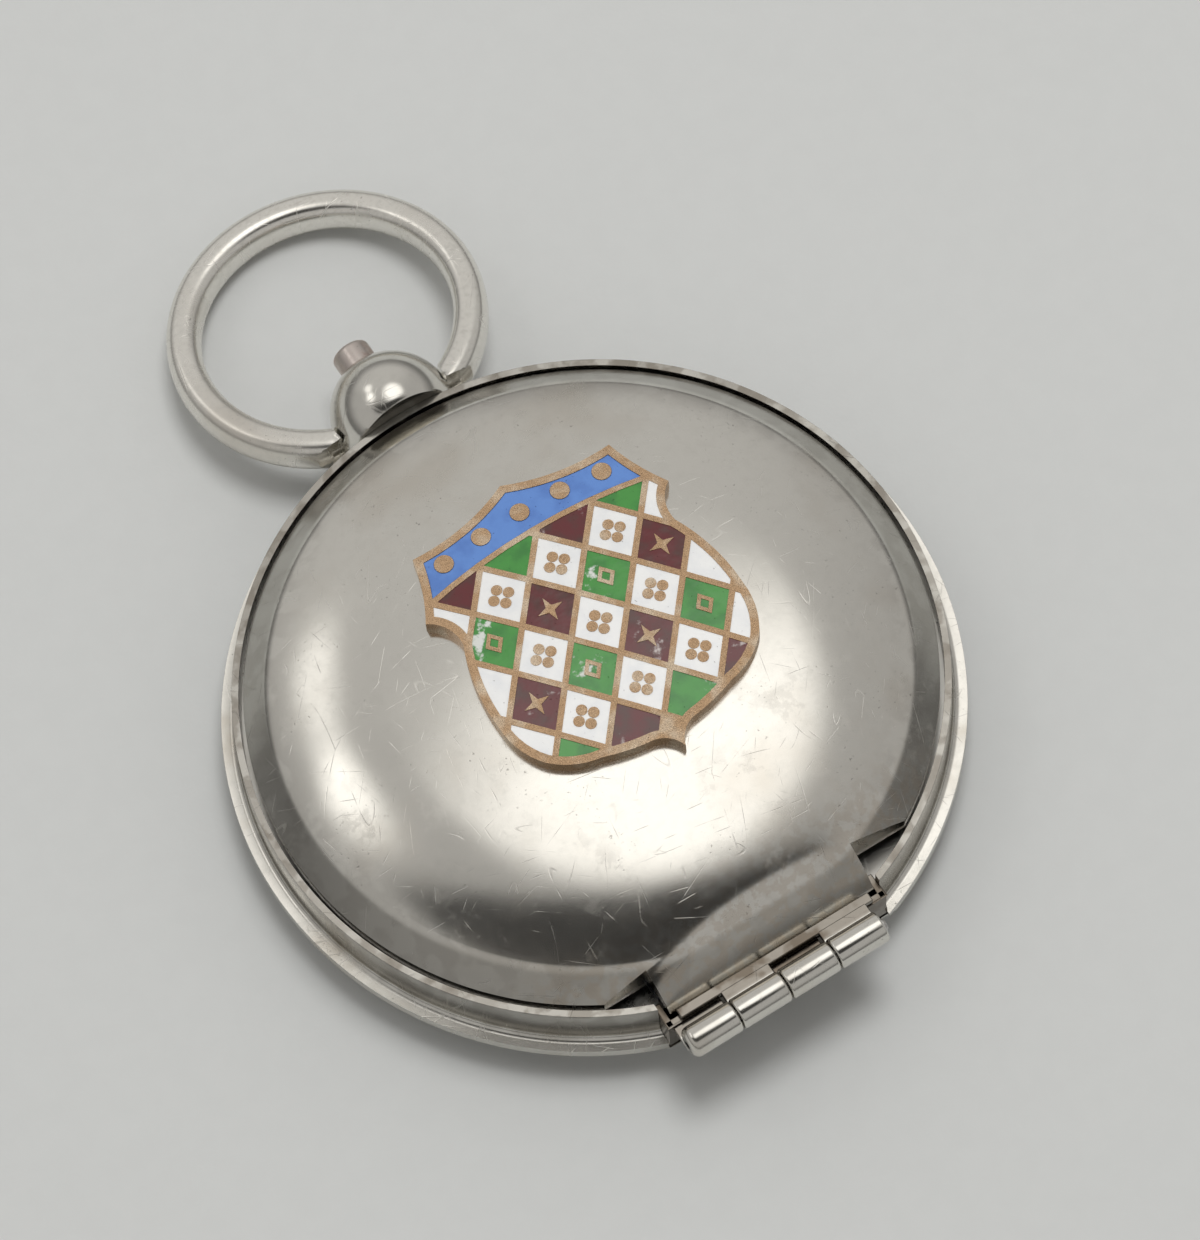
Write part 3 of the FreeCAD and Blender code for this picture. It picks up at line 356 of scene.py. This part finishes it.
def giltBronze(look):
    material, tree, shader, place = newMaterial("giltBronze", 1.0, look["roughness"])
    fine = grain(tree, place, look["grain"], 3.0, rough=0.6)
    blotch = grain(tree, place, look["blotch"], 3.0)
    colour = mixColour(tree, remap(tree, blotch, 0.45, 0.7), look["colour"], look["worn"])
    colour = mixColour(tree, remap(tree, fine, 0.55, 0.8, 0.0, look["dirtShare"]), colour, look["dirt"])
    tree.links.new(colour, shader.inputs["Base Color"])
    tree.links.new(remap(tree, fine, 0.3, 0.8, *look["roughAt"]), shader.inputs["Roughness"])
    emboss(tree, shader, fine, look["bump"])
    return material


enamelLook = {"specular": 0.6, "roughness": 0.12, "rough": 0.1, "chipRough": 0.4, "cloud": 0.9,
              "cloudAt": (0.4, 0.72), "pitSize": 0.12, "pitAt": (0.74, 0.8), "pitShare": 0.5,
              "wave": 0.6, "chipDepth": 0.8, "bump": 0.012}


# glassy fill with small pits, cloudy tone and worn patches
def enamel(name, colours):
    look = {**enamelLook, **colours}
    material, tree, shader, place = newMaterial(name, 0.0, look["roughness"])
    shader.inputs["Specular IOR Level"].default_value = look["specular"]
    cloud = remap(tree, grain(tree, place, look["cloud"], 3.0), *look["cloudAt"])
    colour = mixColour(tree, cloud, look["colour"], look["shade"])
    chipped = remap(tree, grain(tree, place, look["patch"], 5.0, rough=0.62), *look["chip"])
    colour = mixColour(tree, chipped, colour, look["under"])
    pits = remap(tree, grain(tree, place, look["pitSize"], 1.0), *look["pitAt"])
    colour = mixColour(tree, combine(tree, "MULTIPLY", pits, look["pitShare"]), colour, look["pit"])
    tree.links.new(colour, shader.inputs["Base Color"])
    rough = combine(tree, "ADD", combine(tree, "MULTIPLY", chipped, look["chipRough"]), look["rough"])
    tree.links.new(rough, shader.inputs["Roughness"])
    height = combine(tree, "SUBTRACT", grain(tree, place, look["wave"], 2.0),
                     combine(tree, "MULTIPLY", chipped, look["chipDepth"]))
    emboss(tree, shader, combine(tree, "SUBTRACT", height, pits), look["bump"])
    return material


gilt = giltBronze(giltLook)
enamelBlue = enamel("enamelBlue", {
    "colour": (0.13, 0.28, 0.68), "shade": (0.1, 0.22, 0.58), "patch": 2.4, "chip": (0.74, 0.8),
    "under": (0.05, 0.09, 0.3), "pit": (0.03, 0.05, 0.2)})
enamelWhite = enamel("enamelWhite", {
    "colour": (0.92, 0.92, 0.91), "shade": (0.85, 0.86, 0.87), "patch": 1.6, "chip": (0.76, 0.84),
    "under": (0.6, 0.4, 0.42), "pit": (0.3, 0.28, 0.26)})
enamelGreen = enamel("enamelGreen", {
    "colour": (0.07, 0.3, 0.06), "shade": (0.05, 0.22, 0.05), "patch": 1.7, "chip": (0.6, 0.66),
    "under": (0.74, 0.76, 0.72), "pit": (0.02, 0.06, 0.02)})
enamelMaroon = enamel("enamelMaroon", {
    "colour": (0.13, 0.025, 0.028), "shade": (0.09, 0.04, 0.035), "patch": 1.3, "chip": (0.6, 0.7),
    "under": (0.62, 0.56, 0.54), "pit": (0.03, 0.015, 0.01)})
print("materials: gilt and enamels ready")

# lid

lid = {
    "top": 7.4, "domeRadius": 75.0, "rollStart": 8.5, "shoulder": (13.5, 5.45), "shoulderRound": 1.3,
    "edge": 14.6, "coneFoot": 4.35, "foot": 3.75, "wall": 0.3, "notch": -12.6,
    "flap": (-5.3, 4.7), "flapFoot": (-14.35, 4.1), "flapTop": (-12.95, 5.45), "flapRound": 0.3,
    "flapBulge": 0.42, "flapReach": 1.2, "flapAbove": 5, "flapRows": 26,
    "domeSteps": 14, "rollSteps": 16, "shoulderSteps": 7, "steps": 288, "edgeRound": 0.07, "edgeSteps": 3,
    "sharp": 30,
}


# centre, radius and start lean of the arc that carries the dome over to the shoulder
def rollShape():
    lean = math.asin(lid["rollStart"] / lid["domeRadius"])
    height = lid["top"] - lid["domeRadius"] * (1 - math.cos(lean))
    run, drop = lid["shoulder"][0] - lid["rollStart"], height - lid["shoulder"][1]
    radius = (run ** 2 + drop ** 2) / (2 * (drop * math.cos(lean) - run * math.sin(lean)))
    centre = (lid["rollStart"] - radius * math.sin(lean), height - radius * math.cos(lean))
    return centre, radius, lean


def domeHeight(radius):
    centre, roll, lean = rollShape()
    if radius < lid["rollStart"]:
        return lid["top"] - lid["domeRadius"] + math.sqrt(lid["domeRadius"] ** 2 - radius ** 2)
    inside = min(radius, lid["shoulder"][0])
    height = centre[1] + math.sqrt(roll ** 2 - (inside - centre[0]) ** 2)
    slope = (lid["shoulder"][0] - centre[0]) / (lid["shoulder"][1] - centre[1])
    return height - (radius - inside) * slope


# the lower of dome and sloping flap wall, with a soft ridge between them
def flapHeight(x, y):
    dome = domeHeight(math.hypot(x, y))
    (footY, footZ), (topY, topZ) = lid["flapFoot"], lid["flapTop"]
    along = (y - footY) / (topY - footY)
    wall = footZ + (topZ - footZ) * (along + lid["flapBulge"] * along * max(0, 1 - along))
    share = min(1, max(0, 0.5 + 0.5 * (wall - dome) / lid["flapRound"]))
    return wall * (1 - share) + dome * share - lid["flapRound"] * share * (1 - share)


# the round lid before its cuts: dome, roll, shoulder, cone and rim
def spinLid(bm):
    centre, roll, lean = rollShape()
    bend, edge = lid["shoulderRound"], lid["edge"]
    room = (edge + lid["coneFoot"] - centre[0] - centre[1] - bend * math.sqrt(2)) / (roll - bend)
    turn = math.asin(room / math.sqrt(2)) - math.pi / 4
    bendCentre = (centre[0] + (roll - bend) * math.sin(turn), centre[1] + (roll - bend) * math.cos(turn))
    point = bm.verts.new((0, 0, lid["top"]))
    point = arcTo(bm, point, (0, lid["top"] - lid["domeRadius"]), lean, lid["domeSteps"])
    point = arcTo(bm, point, centre, turn - lean, lid["rollSteps"])
    point = arcTo(bm, point, bendCentre, math.pi / 4 - turn, lid["shoulderSteps"])
    point = lineTo(bm, point, edge, lid["coneFoot"])
    point = lineTo(bm, point, edge, lid["flapFoot"][1])
    lineTo(bm, point, edge, lid["foot"])
    spinProfile(bm, lid["steps"])


def overFlap(middle):
    return middle.y < lid["notch"] + lid["flapReach"] and middle.z > lid["flapAbove"]


# cuts the lid straight at the hinge, with edges along the flap's sides and a soft ridge above it
def cutLid(bm):
    left, right = lid["flap"]
    cutAway(bm, (0, lid["notch"], 0), (0, -1, 0))
    cutAway(bm, (left, 0, 0), (-1, 0, 0), overFlap, False)
    cutAway(bm, (right, 0, 0), (1, 0, 0), overFlap, False)
    for vert in bm.verts:
        if vert.co.y < lid["notch"] + lid["flapReach"] and left < vert.co.x < right:
            vert.co.z = min(vert.co.z, flapHeight(vert.co.x, vert.co.y))


# carries the cut on down the flap; what it stands off the flap's wall at first soon fades
def growFlap(bm, row):
    gap = {round(v.co.x, 4): v.co.z - flapHeight(v.co.x, v.co.y) for e in row for v in e.verts}
    depth = lid["notch"] - lid["flapFoot"][0]
    for number in range(1, lid["flapRows"] + 1):
        share = number / lid["flapRows"]
        made = bmesh.ops.extrude_edge_only(bm, edges=row)["geom"]
        verts = vertsOf(made)
        row = [e for e in edgesOf(made) if all(v in verts for v in e.verts)]
        for vert in verts:
            vert.co.y = lid["notch"] - depth * share
            vert.co.z = flapHeight(vert.co.x, vert.co.y) + gap[round(vert.co.x, 4)] * (1 - share) ** 3
    for vert in verts:
        vert.co.z = lid["flapFoot"][1]


def dropTo(bm, edges, level):
    for vert in vertsOf(bmesh.ops.extrude_edge_only(bm, edges=edges)["geom"]):
        vert.co.z = level


def makeLid():
    bm = bmesh.new()
    spinLid(bm)
    cutLid(bm)
    (left, right), notch, footZ = lid["flap"], lid["notch"], lid["flapFoot"][1]
    onCut = [e for e in bm.edges if e.is_boundary and all(abs(v.co.y - notch) < onPlane for v in e.verts)]
    flapRow = [e for e in onCut if all(left - onPlane < v.co.x < right + onPlane for v in e.verts)]
    notchEdges = [e for e in onCut if e not in flapRow
                  and min(v.co.z for v in e.verts) > lid["coneFoot"] - onPlane]
    growFlap(bm, flapRow)
    sideEdges = [e for e in bm.edges if e.is_boundary and e not in notchEdges and all(
        min(abs(v.co.x - left), abs(v.co.x - right)) < onPlane and v.co.y < notch + onPlane
        for v in e.verts)]
    dropTo(bm, sideEdges + notchEdges, footZ)
    lowEdges = [e for e in bm.edges if e.is_boundary and all(
        abs(v.co.y - notch) < onPlane and abs(v.co.z - footZ) < onPlane
        and not left + onPlane < v.co.x < right - onPlane for v in e.verts)]
    dropTo(bm, lowEdges, lid["foot"])
    finishPiece(bm, "lid", "lid", lidPlate, ["lid_shell"], wall=lid["wall"],
                edge=lid["edgeRound"], edgeSteps=lid["edgeSteps"], sharp=lid["sharp"])


makeLid()
print("lid ready")

# band and back

band = {
    "inner": 14.8, "outer": 15.1, "bead": 15.75, "seam": 1.8, "beadTop": 2.04, "rim": 4.3,
    "gap": (-5.65, 5.05), "gapFrom": -10, "fillet": 0.32, "filletSteps": 6, "steps": 288,
    "edgeRound": 0.11, "edgeSteps": 3,
}


def nearHinge(middle):
    return middle.y < band["gapFrom"]


def makeBand():
    bm = bmesh.new()
    fillet = band["fillet"]
    first = bm.verts.new((band["inner"], 0, band["seam"]))
    point = lineTo(bm, first, band["bead"], band["seam"])
    point = lineTo(bm, point, band["bead"], band["beadTop"])
    point = lineTo(bm, point, band["outer"] + fillet, band["beadTop"])
    filletCentre = (band["outer"] + fillet, band["beadTop"] + fillet)
    point = arcTo(bm, point, filletCentre, math.pi / 2, band["filletSteps"])
    point = lineTo(bm, point, band["outer"], band["rim"])
    point = lineTo(bm, point, band["inner"], band["rim"])
    bm.edges.new((point, first))
    spinProfile(bm, band["steps"])
    left, right = band["gap"]
    cutAway(bm, (left, 0, 0), (1, 0, 0), nearHinge, False)
    cutAway(bm, (right, 0, 0), (1, 0, 0), nearHinge, False)
    middles = [(face, face.calc_center_median()) for face in bm.faces]
    gone = [face for face, middle in middles if nearHinge(middle) and left < middle.x < right]
    bmesh.ops.delete(bm, geom=gone, context="FACES")
    closeHoles(bm)
    finishPiece(bm, "band", "case", bandPlate, ["case_band"], edge=band["edgeRound"],
                edgeSteps=band["edgeSteps"])


back = {"flat": 8.0, "rise": 1.56, "outer": 15.05, "bead": 15.75, "seam": 1.8, "inner": 14.75,
        "wall": 0.3, "cut": -14.75, "curveSteps": 14, "steps": 288, "edgeRound": 0.09,
        "edgeSteps": 3}


def makeBack():
    bm = bmesh.new()
    run, rise = back["outer"] - back["flat"], back["rise"]
    innerRun, innerRise = back["inner"] - back["flat"], back["seam"] - back["wall"]
    bend = (run ** 2 + rise ** 2) / (2 * rise)
    innerBend = (innerRun ** 2 + innerRise ** 2) / (2 * innerRise)
    curve, innerCurve = 2 * math.atan2(rise, run), 2 * math.atan2(innerRise, innerRun)
    point = bm.verts.new((0, 0, 0))
    point = lineTo(bm, point, back["flat"], 0)
    point = arcTo(bm, point, (back["flat"], bend), -curve, back["curveSteps"])
    point = lineTo(bm, point, back["bead"], rise)
    point = lineTo(bm, point, back["bead"], back["seam"])
    point = lineTo(bm, point, back["inner"], back["seam"])
    point = arcTo(bm, point, (back["flat"], back["wall"] + innerBend), innerCurve, back["curveSteps"])
    lineTo(bm, point, 0, back["wall"])
    spinProfile(bm, back["steps"])
    cutAway(bm, (0, back["cut"], 0), (0, -1, 0))
    closeHoles(bm)
    finishPiece(bm, "back", "case", bandPlate, ["back_shell"], edge=back["edgeRound"],
                edgeSteps=back["edgeSteps"])


makeBand()
makeBack()
print("band and back ready")

# hinge

hinge = {
    "radius": 0.7, "length": 2.33, "gap": 0.06, "start": -5.45, "segments": 48,
    "endRound": 0.1, "firstRound": 0.32, "endSteps": 5, "bore": 0.36, "boreDepth": 0.12, "boreEdge": 0.02,
    "box": {"left": -5.65, "right": 5.05, "face": -14.75, "back": -13.6, "low": 1.8, "top": 3.8, "wall": 0.3},
    "plate": {"left": -5.0, "right": 4.4, "back": -12.4, "low": 3.85, "top": 4.1},
    "armTop": 3.65, "armInto": 0.1, "edgeRound": 0.04,
}
pin = {"radius": 0.3, "past": 0.2, "endRound": 0.12, "endSteps": 4, "segments": 32}


def knuckleStart(number):
    return hinge["start"] + number * (hinge["length"] + hinge["gap"])


def endCap(bm, end):
    return [face for face in bm.faces if len(face.verts) == hinge["segments"]
            and abs(face.calc_center_median().x - end) < onPlane][0]


# a rod with rounded ends, in each a shallow bore that the pin's end would sit in
def addKnuckle(bm, number):
    start = knuckleStart(number)
    addRod(bm, (start, hingeY, hingeZ), hinge["length"], hinge["radius"], hinge["segments"])
    for end, sign in ((start, -1), (start + hinge["length"], 1)):
        width = hinge["firstRound"] if number == 0 and sign < 0 else hinge["endRound"]
        bmesh.ops.bevel(bm, geom=endCap(bm, end).edges[:], offset=width, segments=hinge["endSteps"],
                        profile=0.5, affect="EDGES", material=-1)
        cap = endCap(bm, end)
        inset = (hinge["radius"] - width) - hinge["bore"]
        if inset > hinge["boreEdge"]:
            bmesh.ops.inset_region(bm, faces=[cap], thickness=inset, use_even_offset=True)
            bmesh.ops.inset_region(bm, faces=[cap], thickness=hinge["boreEdge"], depth=0)
            bmesh.ops.translate(bm, vec=(-sign * hinge["boreDepth"], 0, 0), verts=cap.verts)


def makeBaseLeaf():
    bm = bmesh.new()
    box = hinge["box"]
    left, right, face, low, top = (box[side] for side in ("left", "right", "face", "low", "top"))
    addBar(bm, (left, face, low), (right, face + box["wall"], top))
    addBar(bm, (left, face, low), (left + box["wall"], box["back"], top))
    addBar(bm, (right - box["wall"], face, low), (right, box["back"], top))
    for number in (0, 2):  # the first and third knuckles, counted from -X
        start = knuckleStart(number)
        addBar(bm, (start, hingeY, hingeZ - hinge["radius"]),
               (start + hinge["length"], face + hinge["armInto"], hinge["armTop"]))
        addKnuckle(bm, number)
    finishPiece(bm, "baseLeaf", "case", hingeNickel, ["base_hinge_leaf"],
                edge=hinge["edgeRound"])


def makeLidLeaf():
    bm = bmesh.new()
    plate, face = hinge["plate"], hinge["box"]["face"]
    addBar(bm, (plate["left"], face, plate["low"]), (plate["right"], plate["back"], plate["top"]))
    for number in (1, 3):  # the second and fourth
        start = knuckleStart(number)
        addBar(bm, (start, hingeY, plate["low"]),
               (start + hinge["length"], face + hinge["armInto"], plate["top"]))
        addKnuckle(bm, number)
    finishPiece(bm, "lidLeaf", "lid", hingeNickel, ["lid_hinge_leaf"],
                edge=hinge["edgeRound"])


def makePin():
    bm = bmesh.new()
    length = 4 * hinge["length"] + 3 * hinge["gap"] + pin["past"]
    addRod(bm, (hinge["start"], hingeY, hingeZ), length, pin["radius"], pin["segments"])
    rims = [edge for edge in bm.edges if abs(edge.verts[0].co.x - edge.verts[1].co.x) < onPlane]
    bmesh.ops.bevel(bm, geom=rims, offset=pin["endRound"], segments=pin["endSteps"], profile=0.5,
                    affect="EDGES", material=-1)
    finishPiece(bm, "hingePin", "case", pinSteel, ["hinge_pin"])


makeBaseLeaf()
makeLidLeaf()
makePin()
print("hinge ready")

# pendant, button and bow

pendant = {"y": 16.0, "z": 2.8, "radius": 2.7, "bore": 0.92, "boreDepth": 1.8, "bandGap": 0.01,
           "arcSteps": 44, "steps": 96, "sharp": 50}


def makeBall():
    bm = bmesh.new()
    radius, bore = pendant["radius"], pendant["bore"]
    mouth = math.asin(bore / radius)
    point = bm.verts.new((0, 0, radius - pendant["boreDepth"]))
    point = lineTo(bm, point, bore, radius - pendant["boreDepth"])
    point = lineTo(bm, point, bore, radius * math.cos(mouth))
    arcTo(bm, point, (0, 0), math.pi - mouth, pendant["arcSteps"])
    spinProfile(bm, pendant["steps"])
    layDown(bm)
    bmesh.ops.translate(bm, vec=(0, pendant["y"], pendant["z"]), verts=bm.verts)
    for vert in bm.verts:  # the back of the ball is fitted against the band and the bead
        wall = (band["outer"] if vert.co.z > band["beadTop"] else band["bead"]) + pendant["bandGap"]
        out = math.hypot(vert.co.x, vert.co.y)
        if out < wall:
            vert.co.x, vert.co.y = vert.co.x * wall / out, vert.co.y * wall / out
    finishPiece(bm, "pendantBall", "case", brightNickel, ["pendant_ball"],
                sharp=pendant["sharp"])


button = {"radius": 0.87, "back": 17.35, "end": 19.65, "round": 0.24, "roundTurn": 84, "roundSteps": 6,
          "crown": 0.06, "stem": 0.35, "stemTip": 13.68, "steps": 48}


def makeButton():
    bm = bmesh.new()
    shoulder = button["end"] - button["round"] - button["crown"]
    point = bm.verts.new((0, 0, button["stemTip"]))
    point = lineTo(bm, point, button["stem"], button["stemTip"])
    point = lineTo(bm, point, button["stem"], button["back"])
    point = lineTo(bm, point, button["radius"], button["back"])
    point = lineTo(bm, point, button["radius"], shoulder)
    point = arcTo(bm, point, (button["radius"] - button["round"], point.co.z),
                  -math.radians(button["roundTurn"]), button["roundSteps"])
    lineTo(bm, point, 0, button["end"])
    spinProfile(bm, button["steps"])
    layDown(bm)
    bmesh.ops.translate(bm, vec=(0, 0, pendant["z"]), verts=bm.verts)
    finishPiece(bm, "pushButton", "button", buttonMetal, ["push_button"])


bow = {"radius": 6.3, "offset": 5.55, "width": 1.5, "thickness": 1.75, "squareness": 2.5, "tilt": 9.0,
       "opening": 28, "room": 2.82, "cut": 2.5, "cutBelow": -3, "heel": 0.35, "section": 36, "steps": 150,
       "capSides": 8, "pin": 0.45, "pinInner": 1.75, "pinOuter": 3.22, "pinSegments": 24,
       "sharp": 50}


# a ring of rounded square section, open towards the ball
def spinBow(bm):
    bmesh.ops.create_circle(bm, segments=bow["section"], radius=1)
    power = 2 / bow["squareness"]
    for vert in bm.verts:
        across, up = vert.co.x, vert.co.y
        vert.co = (math.copysign(abs(across) ** power, across) * bow["width"] / 2 + bow["radius"], 0,
                   math.copysign(abs(up) ** power, up) * bow["thickness"] / 2)
    first = math.radians(bow["opening"] / 2 - 90)
    bmesh.ops.rotate(bm, cent=(0, 0, 0), matrix=Matrix.Rotation(first, 3, "Z"), verts=bm.verts)
    bmesh.ops.spin(bm, geom=bm.verts[:] + bm.edges[:], cent=(0, 0, 0), axis=(0, 0, 1),
                   angle=math.radians(360 - bow["opening"]), steps=bow["steps"])
    bmesh.ops.remove_doubles(bm, verts=bm.verts, dist=weld["profile"])


# cuts the ends square to the ball, then presses them clear of it
def cutBow(bm, pivot):
    ends = math.acos((bow["radius"] ** 2 + bow["offset"] ** 2 - bow["room"] ** 2)
                     / (2 * bow["radius"] * bow["offset"]))
    for side in (-1, 1):
        ring = Vector((side * bow["radius"] * math.sin(ends), -bow["radius"] * math.cos(ends), 0))
        outward = (ring - pivot).normalized()
        cutAway(bm, pivot + outward * bow["cut"], -outward,
                lambda middle, side=side: middle.x * side > 0 and middle.y < bow["cutBelow"])
    closeHoles(bm)
    cutAway(bm, (0, -bow["offset"] - bow["heel"], 0), (0, -1, 0))
    closeHoles(bm)
    bmesh.ops.poke(bm, faces=[face for face in bm.faces if len(face.verts) > bow["capSides"]])
    for vert in bm.verts:
        away = vert.co - pivot
        if away.length < bow["room"]:
            vert.co = pivot + away.normalized() * bow["room"]


def makeBow():
    bm = bmesh.new()
    spinBow(bm)
    cutBow(bm, Vector((0, -bow["offset"], 0)))
    for start in (bow["pinInner"], -bow["pinOuter"]):
        addRod(bm, (start, -bow["offset"], 0), bow["pinOuter"] - bow["pinInner"], bow["pin"],
               bow["pinSegments"])
    tilt = math.radians(bow["tilt"])
    bmesh.ops.rotate(bm, cent=(0, 0, 0), matrix=Matrix.Rotation(-tilt, 3, "X"), verts=bm.verts)
    bmesh.ops.translate(bm, verts=bm.verts, vec=(0, pendant["y"] + bow["offset"] * math.cos(tilt),
                                                 pendant["z"] - bow["offset"] * math.sin(tilt)))
    finishPiece(bm, "bowRing", "bow", satinNickel, ["bow_ring"], sharp=bow["sharp"])


makeBall()
makeButton()
makeBow()
print("pendant, button and bow ready")

# copies of the frame's own meshes: two springs, and a badge with worn edges

copySharp = 30
flexing = {
    "platform_spring": {"to": "platform", "start": (0, 0, 0.3), "end": (0, 0, 4.5)},
    "lift_spring": {"to": "lift", "start": (-4.1, -12.75, 3.1), "end": (-1.5, -12.75, 3.1)},
}
badge = {"edge": 0.055, "edgeSteps": 2, "sharp": 40, "flat": 1.5, "pieces": {
    "badge_plate": ("gilt_bronze", gilt), "enamel_blue": ("enamel_blue", enamelBlue),
    "enamel_white": ("enamel_white", enamelWhite), "enamel_green": ("enamel_green", enamelGreen),
    "enamel_maroon": ("enamel_maroon", enamelMaroon)}}


def copyNode(node, material, flat=0):
    bm = bmesh.new()
    bm.from_mesh(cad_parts[node].data)
    bmesh.ops.remove_doubles(bm, verts=bm.verts, dist=weld["node"])
    if flat:
        bmesh.ops.dissolve_limit(bm, angle_limit=math.radians(flat), verts=bm.verts, edges=bm.edges)
    piece = addObject(bm, node + "Copy", material)
    smooth(piece, copySharp)
    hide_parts(node)
    return piece


def makeSprings():
    for node, look in flexing.items():
        piece = copyNode(node, springSteel)
        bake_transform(piece)


def makeBadge():
    for node, (slot, material) in badge["pieces"].items():
        piece = copyNode(node, material, badge["flat"])
        addEdges(piece, badge["edge"], badge["edgeSteps"], badge["sharp"])
        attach(piece, "lid")


makeSprings()
makeBadge()
print("springs and badge ready")

# CAD pieces that stay, with their finishes

kept = {
    "inner_plate": innerPlate, "coin_retainer": innerPlate, "coin_platform": innerPlate,
    "catch_lug": innerPlate, "lock_spring": springSteel, "lock_spring_rivet": pinSteel,
    "lift_spring_rivet": pinSteel, "button_washer": pinSteel,
}
for node, material in kept.items():
    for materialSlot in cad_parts[node].material_slots:
        materialSlot.material = material
print("carried-over nodes dressed")

# floor, light and camera

# room: the sky's brightness climbs between the first two sines of height, from the third value
# to the fourth. glows: azimuth, height, full and outer angle, brightness. shade: the dark side
# behind the camera, between two sines each way, and how much of the light it leaves
studio = {
    "floor": (0.66, 0.67, 0.66), "floorRoughness": 0.85, "floorHalf": 3.0,
    "weave": 1.3, "weaveShade": 0.985, "weaveDepth": 0.02,
    "tint": (1, 0.985, 0.96, 1), "room": (0.05, 0.42, 0.17, 0.48),
    "glows": [(125, 76, 9, 21, 1.12), (165, 35, 8, 50, 0.13), (-132, 55, 2, 10, 1.2), (-145, 50, 2, 8, 0.4),
              (-156, 44, 2, 9, 0.8)],
    "shade": {"azimuth": -26.4, "front": (0.04, 0.19), "upward": (0.8, 0.85), "leaves": 0.08},
    "lamp": {"azimuth": 125, "height": 75, "distance": 0.7, "size": 0.3, "power": 1.7},
}


# unit vector towards a place seen from the object: azimuth from -Y towards +X, height above level
def heading(azimuth, height):
    turn, lift = math.radians(azimuth), math.radians(height)
    return Vector((math.sin(turn) * math.cos(lift), -math.cos(turn) * math.cos(lift), math.sin(lift)))


def makeFloor():
    material, tree, shader, place = newMaterial("paleFloor", 0.0, studio["floorRoughness"])
    weave = grain(tree, place, studio["weave"], 3.0, rough=0.6)
    shaded = tuple(amount * studio["weaveShade"] for amount in studio["floor"])
    colour = mixColour(tree, remap(tree, weave, 0.3, 0.7), studio["floor"], shaded)
    tree.links.new(colour, shader.inputs["Base Color"])
    emboss(tree, shader, weave, studio["weaveDepth"])
    bm = bmesh.new()
    bmesh.ops.create_grid(bm, x_segments=1, y_segments=1, size=studio["floorHalf"])
    addObject(bm, "floor", material)


def makeLight():
    world = bpy.data.worlds.new("studio")
    bpy.context.scene.world = world
    world.use_nodes = True
    tree = world.node_tree
    background = tree.nodes["Background"]
    place = tree.nodes.new("ShaderNodeTexCoord").outputs["Generated"]

    def towards(azimuth, height):
        node = tree.nodes.new("ShaderNodeVectorMath")
        node.operation = "DOT_PRODUCT"
        node.inputs[1].default_value = heading(azimuth, height)
        tree.links.new(place, node.inputs[0])
        return node.outputs["Value"]

    upward = towards(0, 90)
    level = remap(tree, upward, *studio["room"])
    for azimuth, height, inner, outer, strength in studio["glows"]:
        glow = remap(tree, towards(azimuth, height), math.cos(math.radians(outer)),
                     math.cos(math.radians(inner)), 0.0, strength)
        level = combine(tree, "ADD", glow, level)
    shade = studio["shade"]
    dark = combine(tree, "MULTIPLY", remap(tree, towards(shade["azimuth"], 0), *shade["front"]),
                   remap(tree, upward, *shade["upward"]))
    level = combine(tree, "MULTIPLY", level, remap(tree, dark, 0.0, 1.0, 1.0, shade["leaves"]))
    background.inputs["Color"].default_value = studio["tint"]
    tree.links.new(level, background.inputs["Strength"])


def makeLamp():
    lamp = studio["lamp"]
    light = bpy.data.lights.new("softbox", "AREA")
    light.shape, light.size, light.energy = "DISK", lamp["size"], lamp["power"]
    softbox = bpy.data.objects.new("softbox", light)
    away = heading(lamp["azimuth"], lamp["height"])
    softbox.location = away * lamp["distance"]
    softbox.rotation_euler = away.to_track_quat("Z", "Y").to_euler()
    softbox.visible_glossy = False  # the room's own glow is what the metal mirrors
    bpy.context.scene.collection.objects.link(softbox)


view = {"spot": (-54.087, -110.674, 275.367), "azimuth": -26.363, "height": 65.081, "roll": -6.806,
        "lens": 206.52, "sensor": 36, "near": 0.01}


def makeCamera():
    camera = bpy.data.cameras.new("camera")
    camera.lens, camera.sensor_width, camera.clip_start = view["lens"], view["sensor"], view["near"]
    backward = heading(view["azimuth"], view["height"])
    turn = math.radians(view["azimuth"])
    right = Vector((math.cos(turn), math.sin(turn), 0))
    up = backward.cross(right)
    roll = math.radians(view["roll"])
    right, up = right * math.cos(roll) + up * math.sin(roll), up * math.cos(roll) - right * math.sin(roll)
    place = Matrix((right, up, backward)).transposed().to_4x4()
    place.translation = Vector(view["spot"]) * mm
    holder = bpy.data.objects.new("camera", camera)
    holder.matrix_world = place
    bpy.context.scene.collection.objects.link(holder)
    bpy.context.scene.camera = holder


makeFloor()
makeLight()
makeLamp()
makeCamera()
bpy.context.scene.view_settings.view_transform = "Standard"
print("floor, light and camera ready")
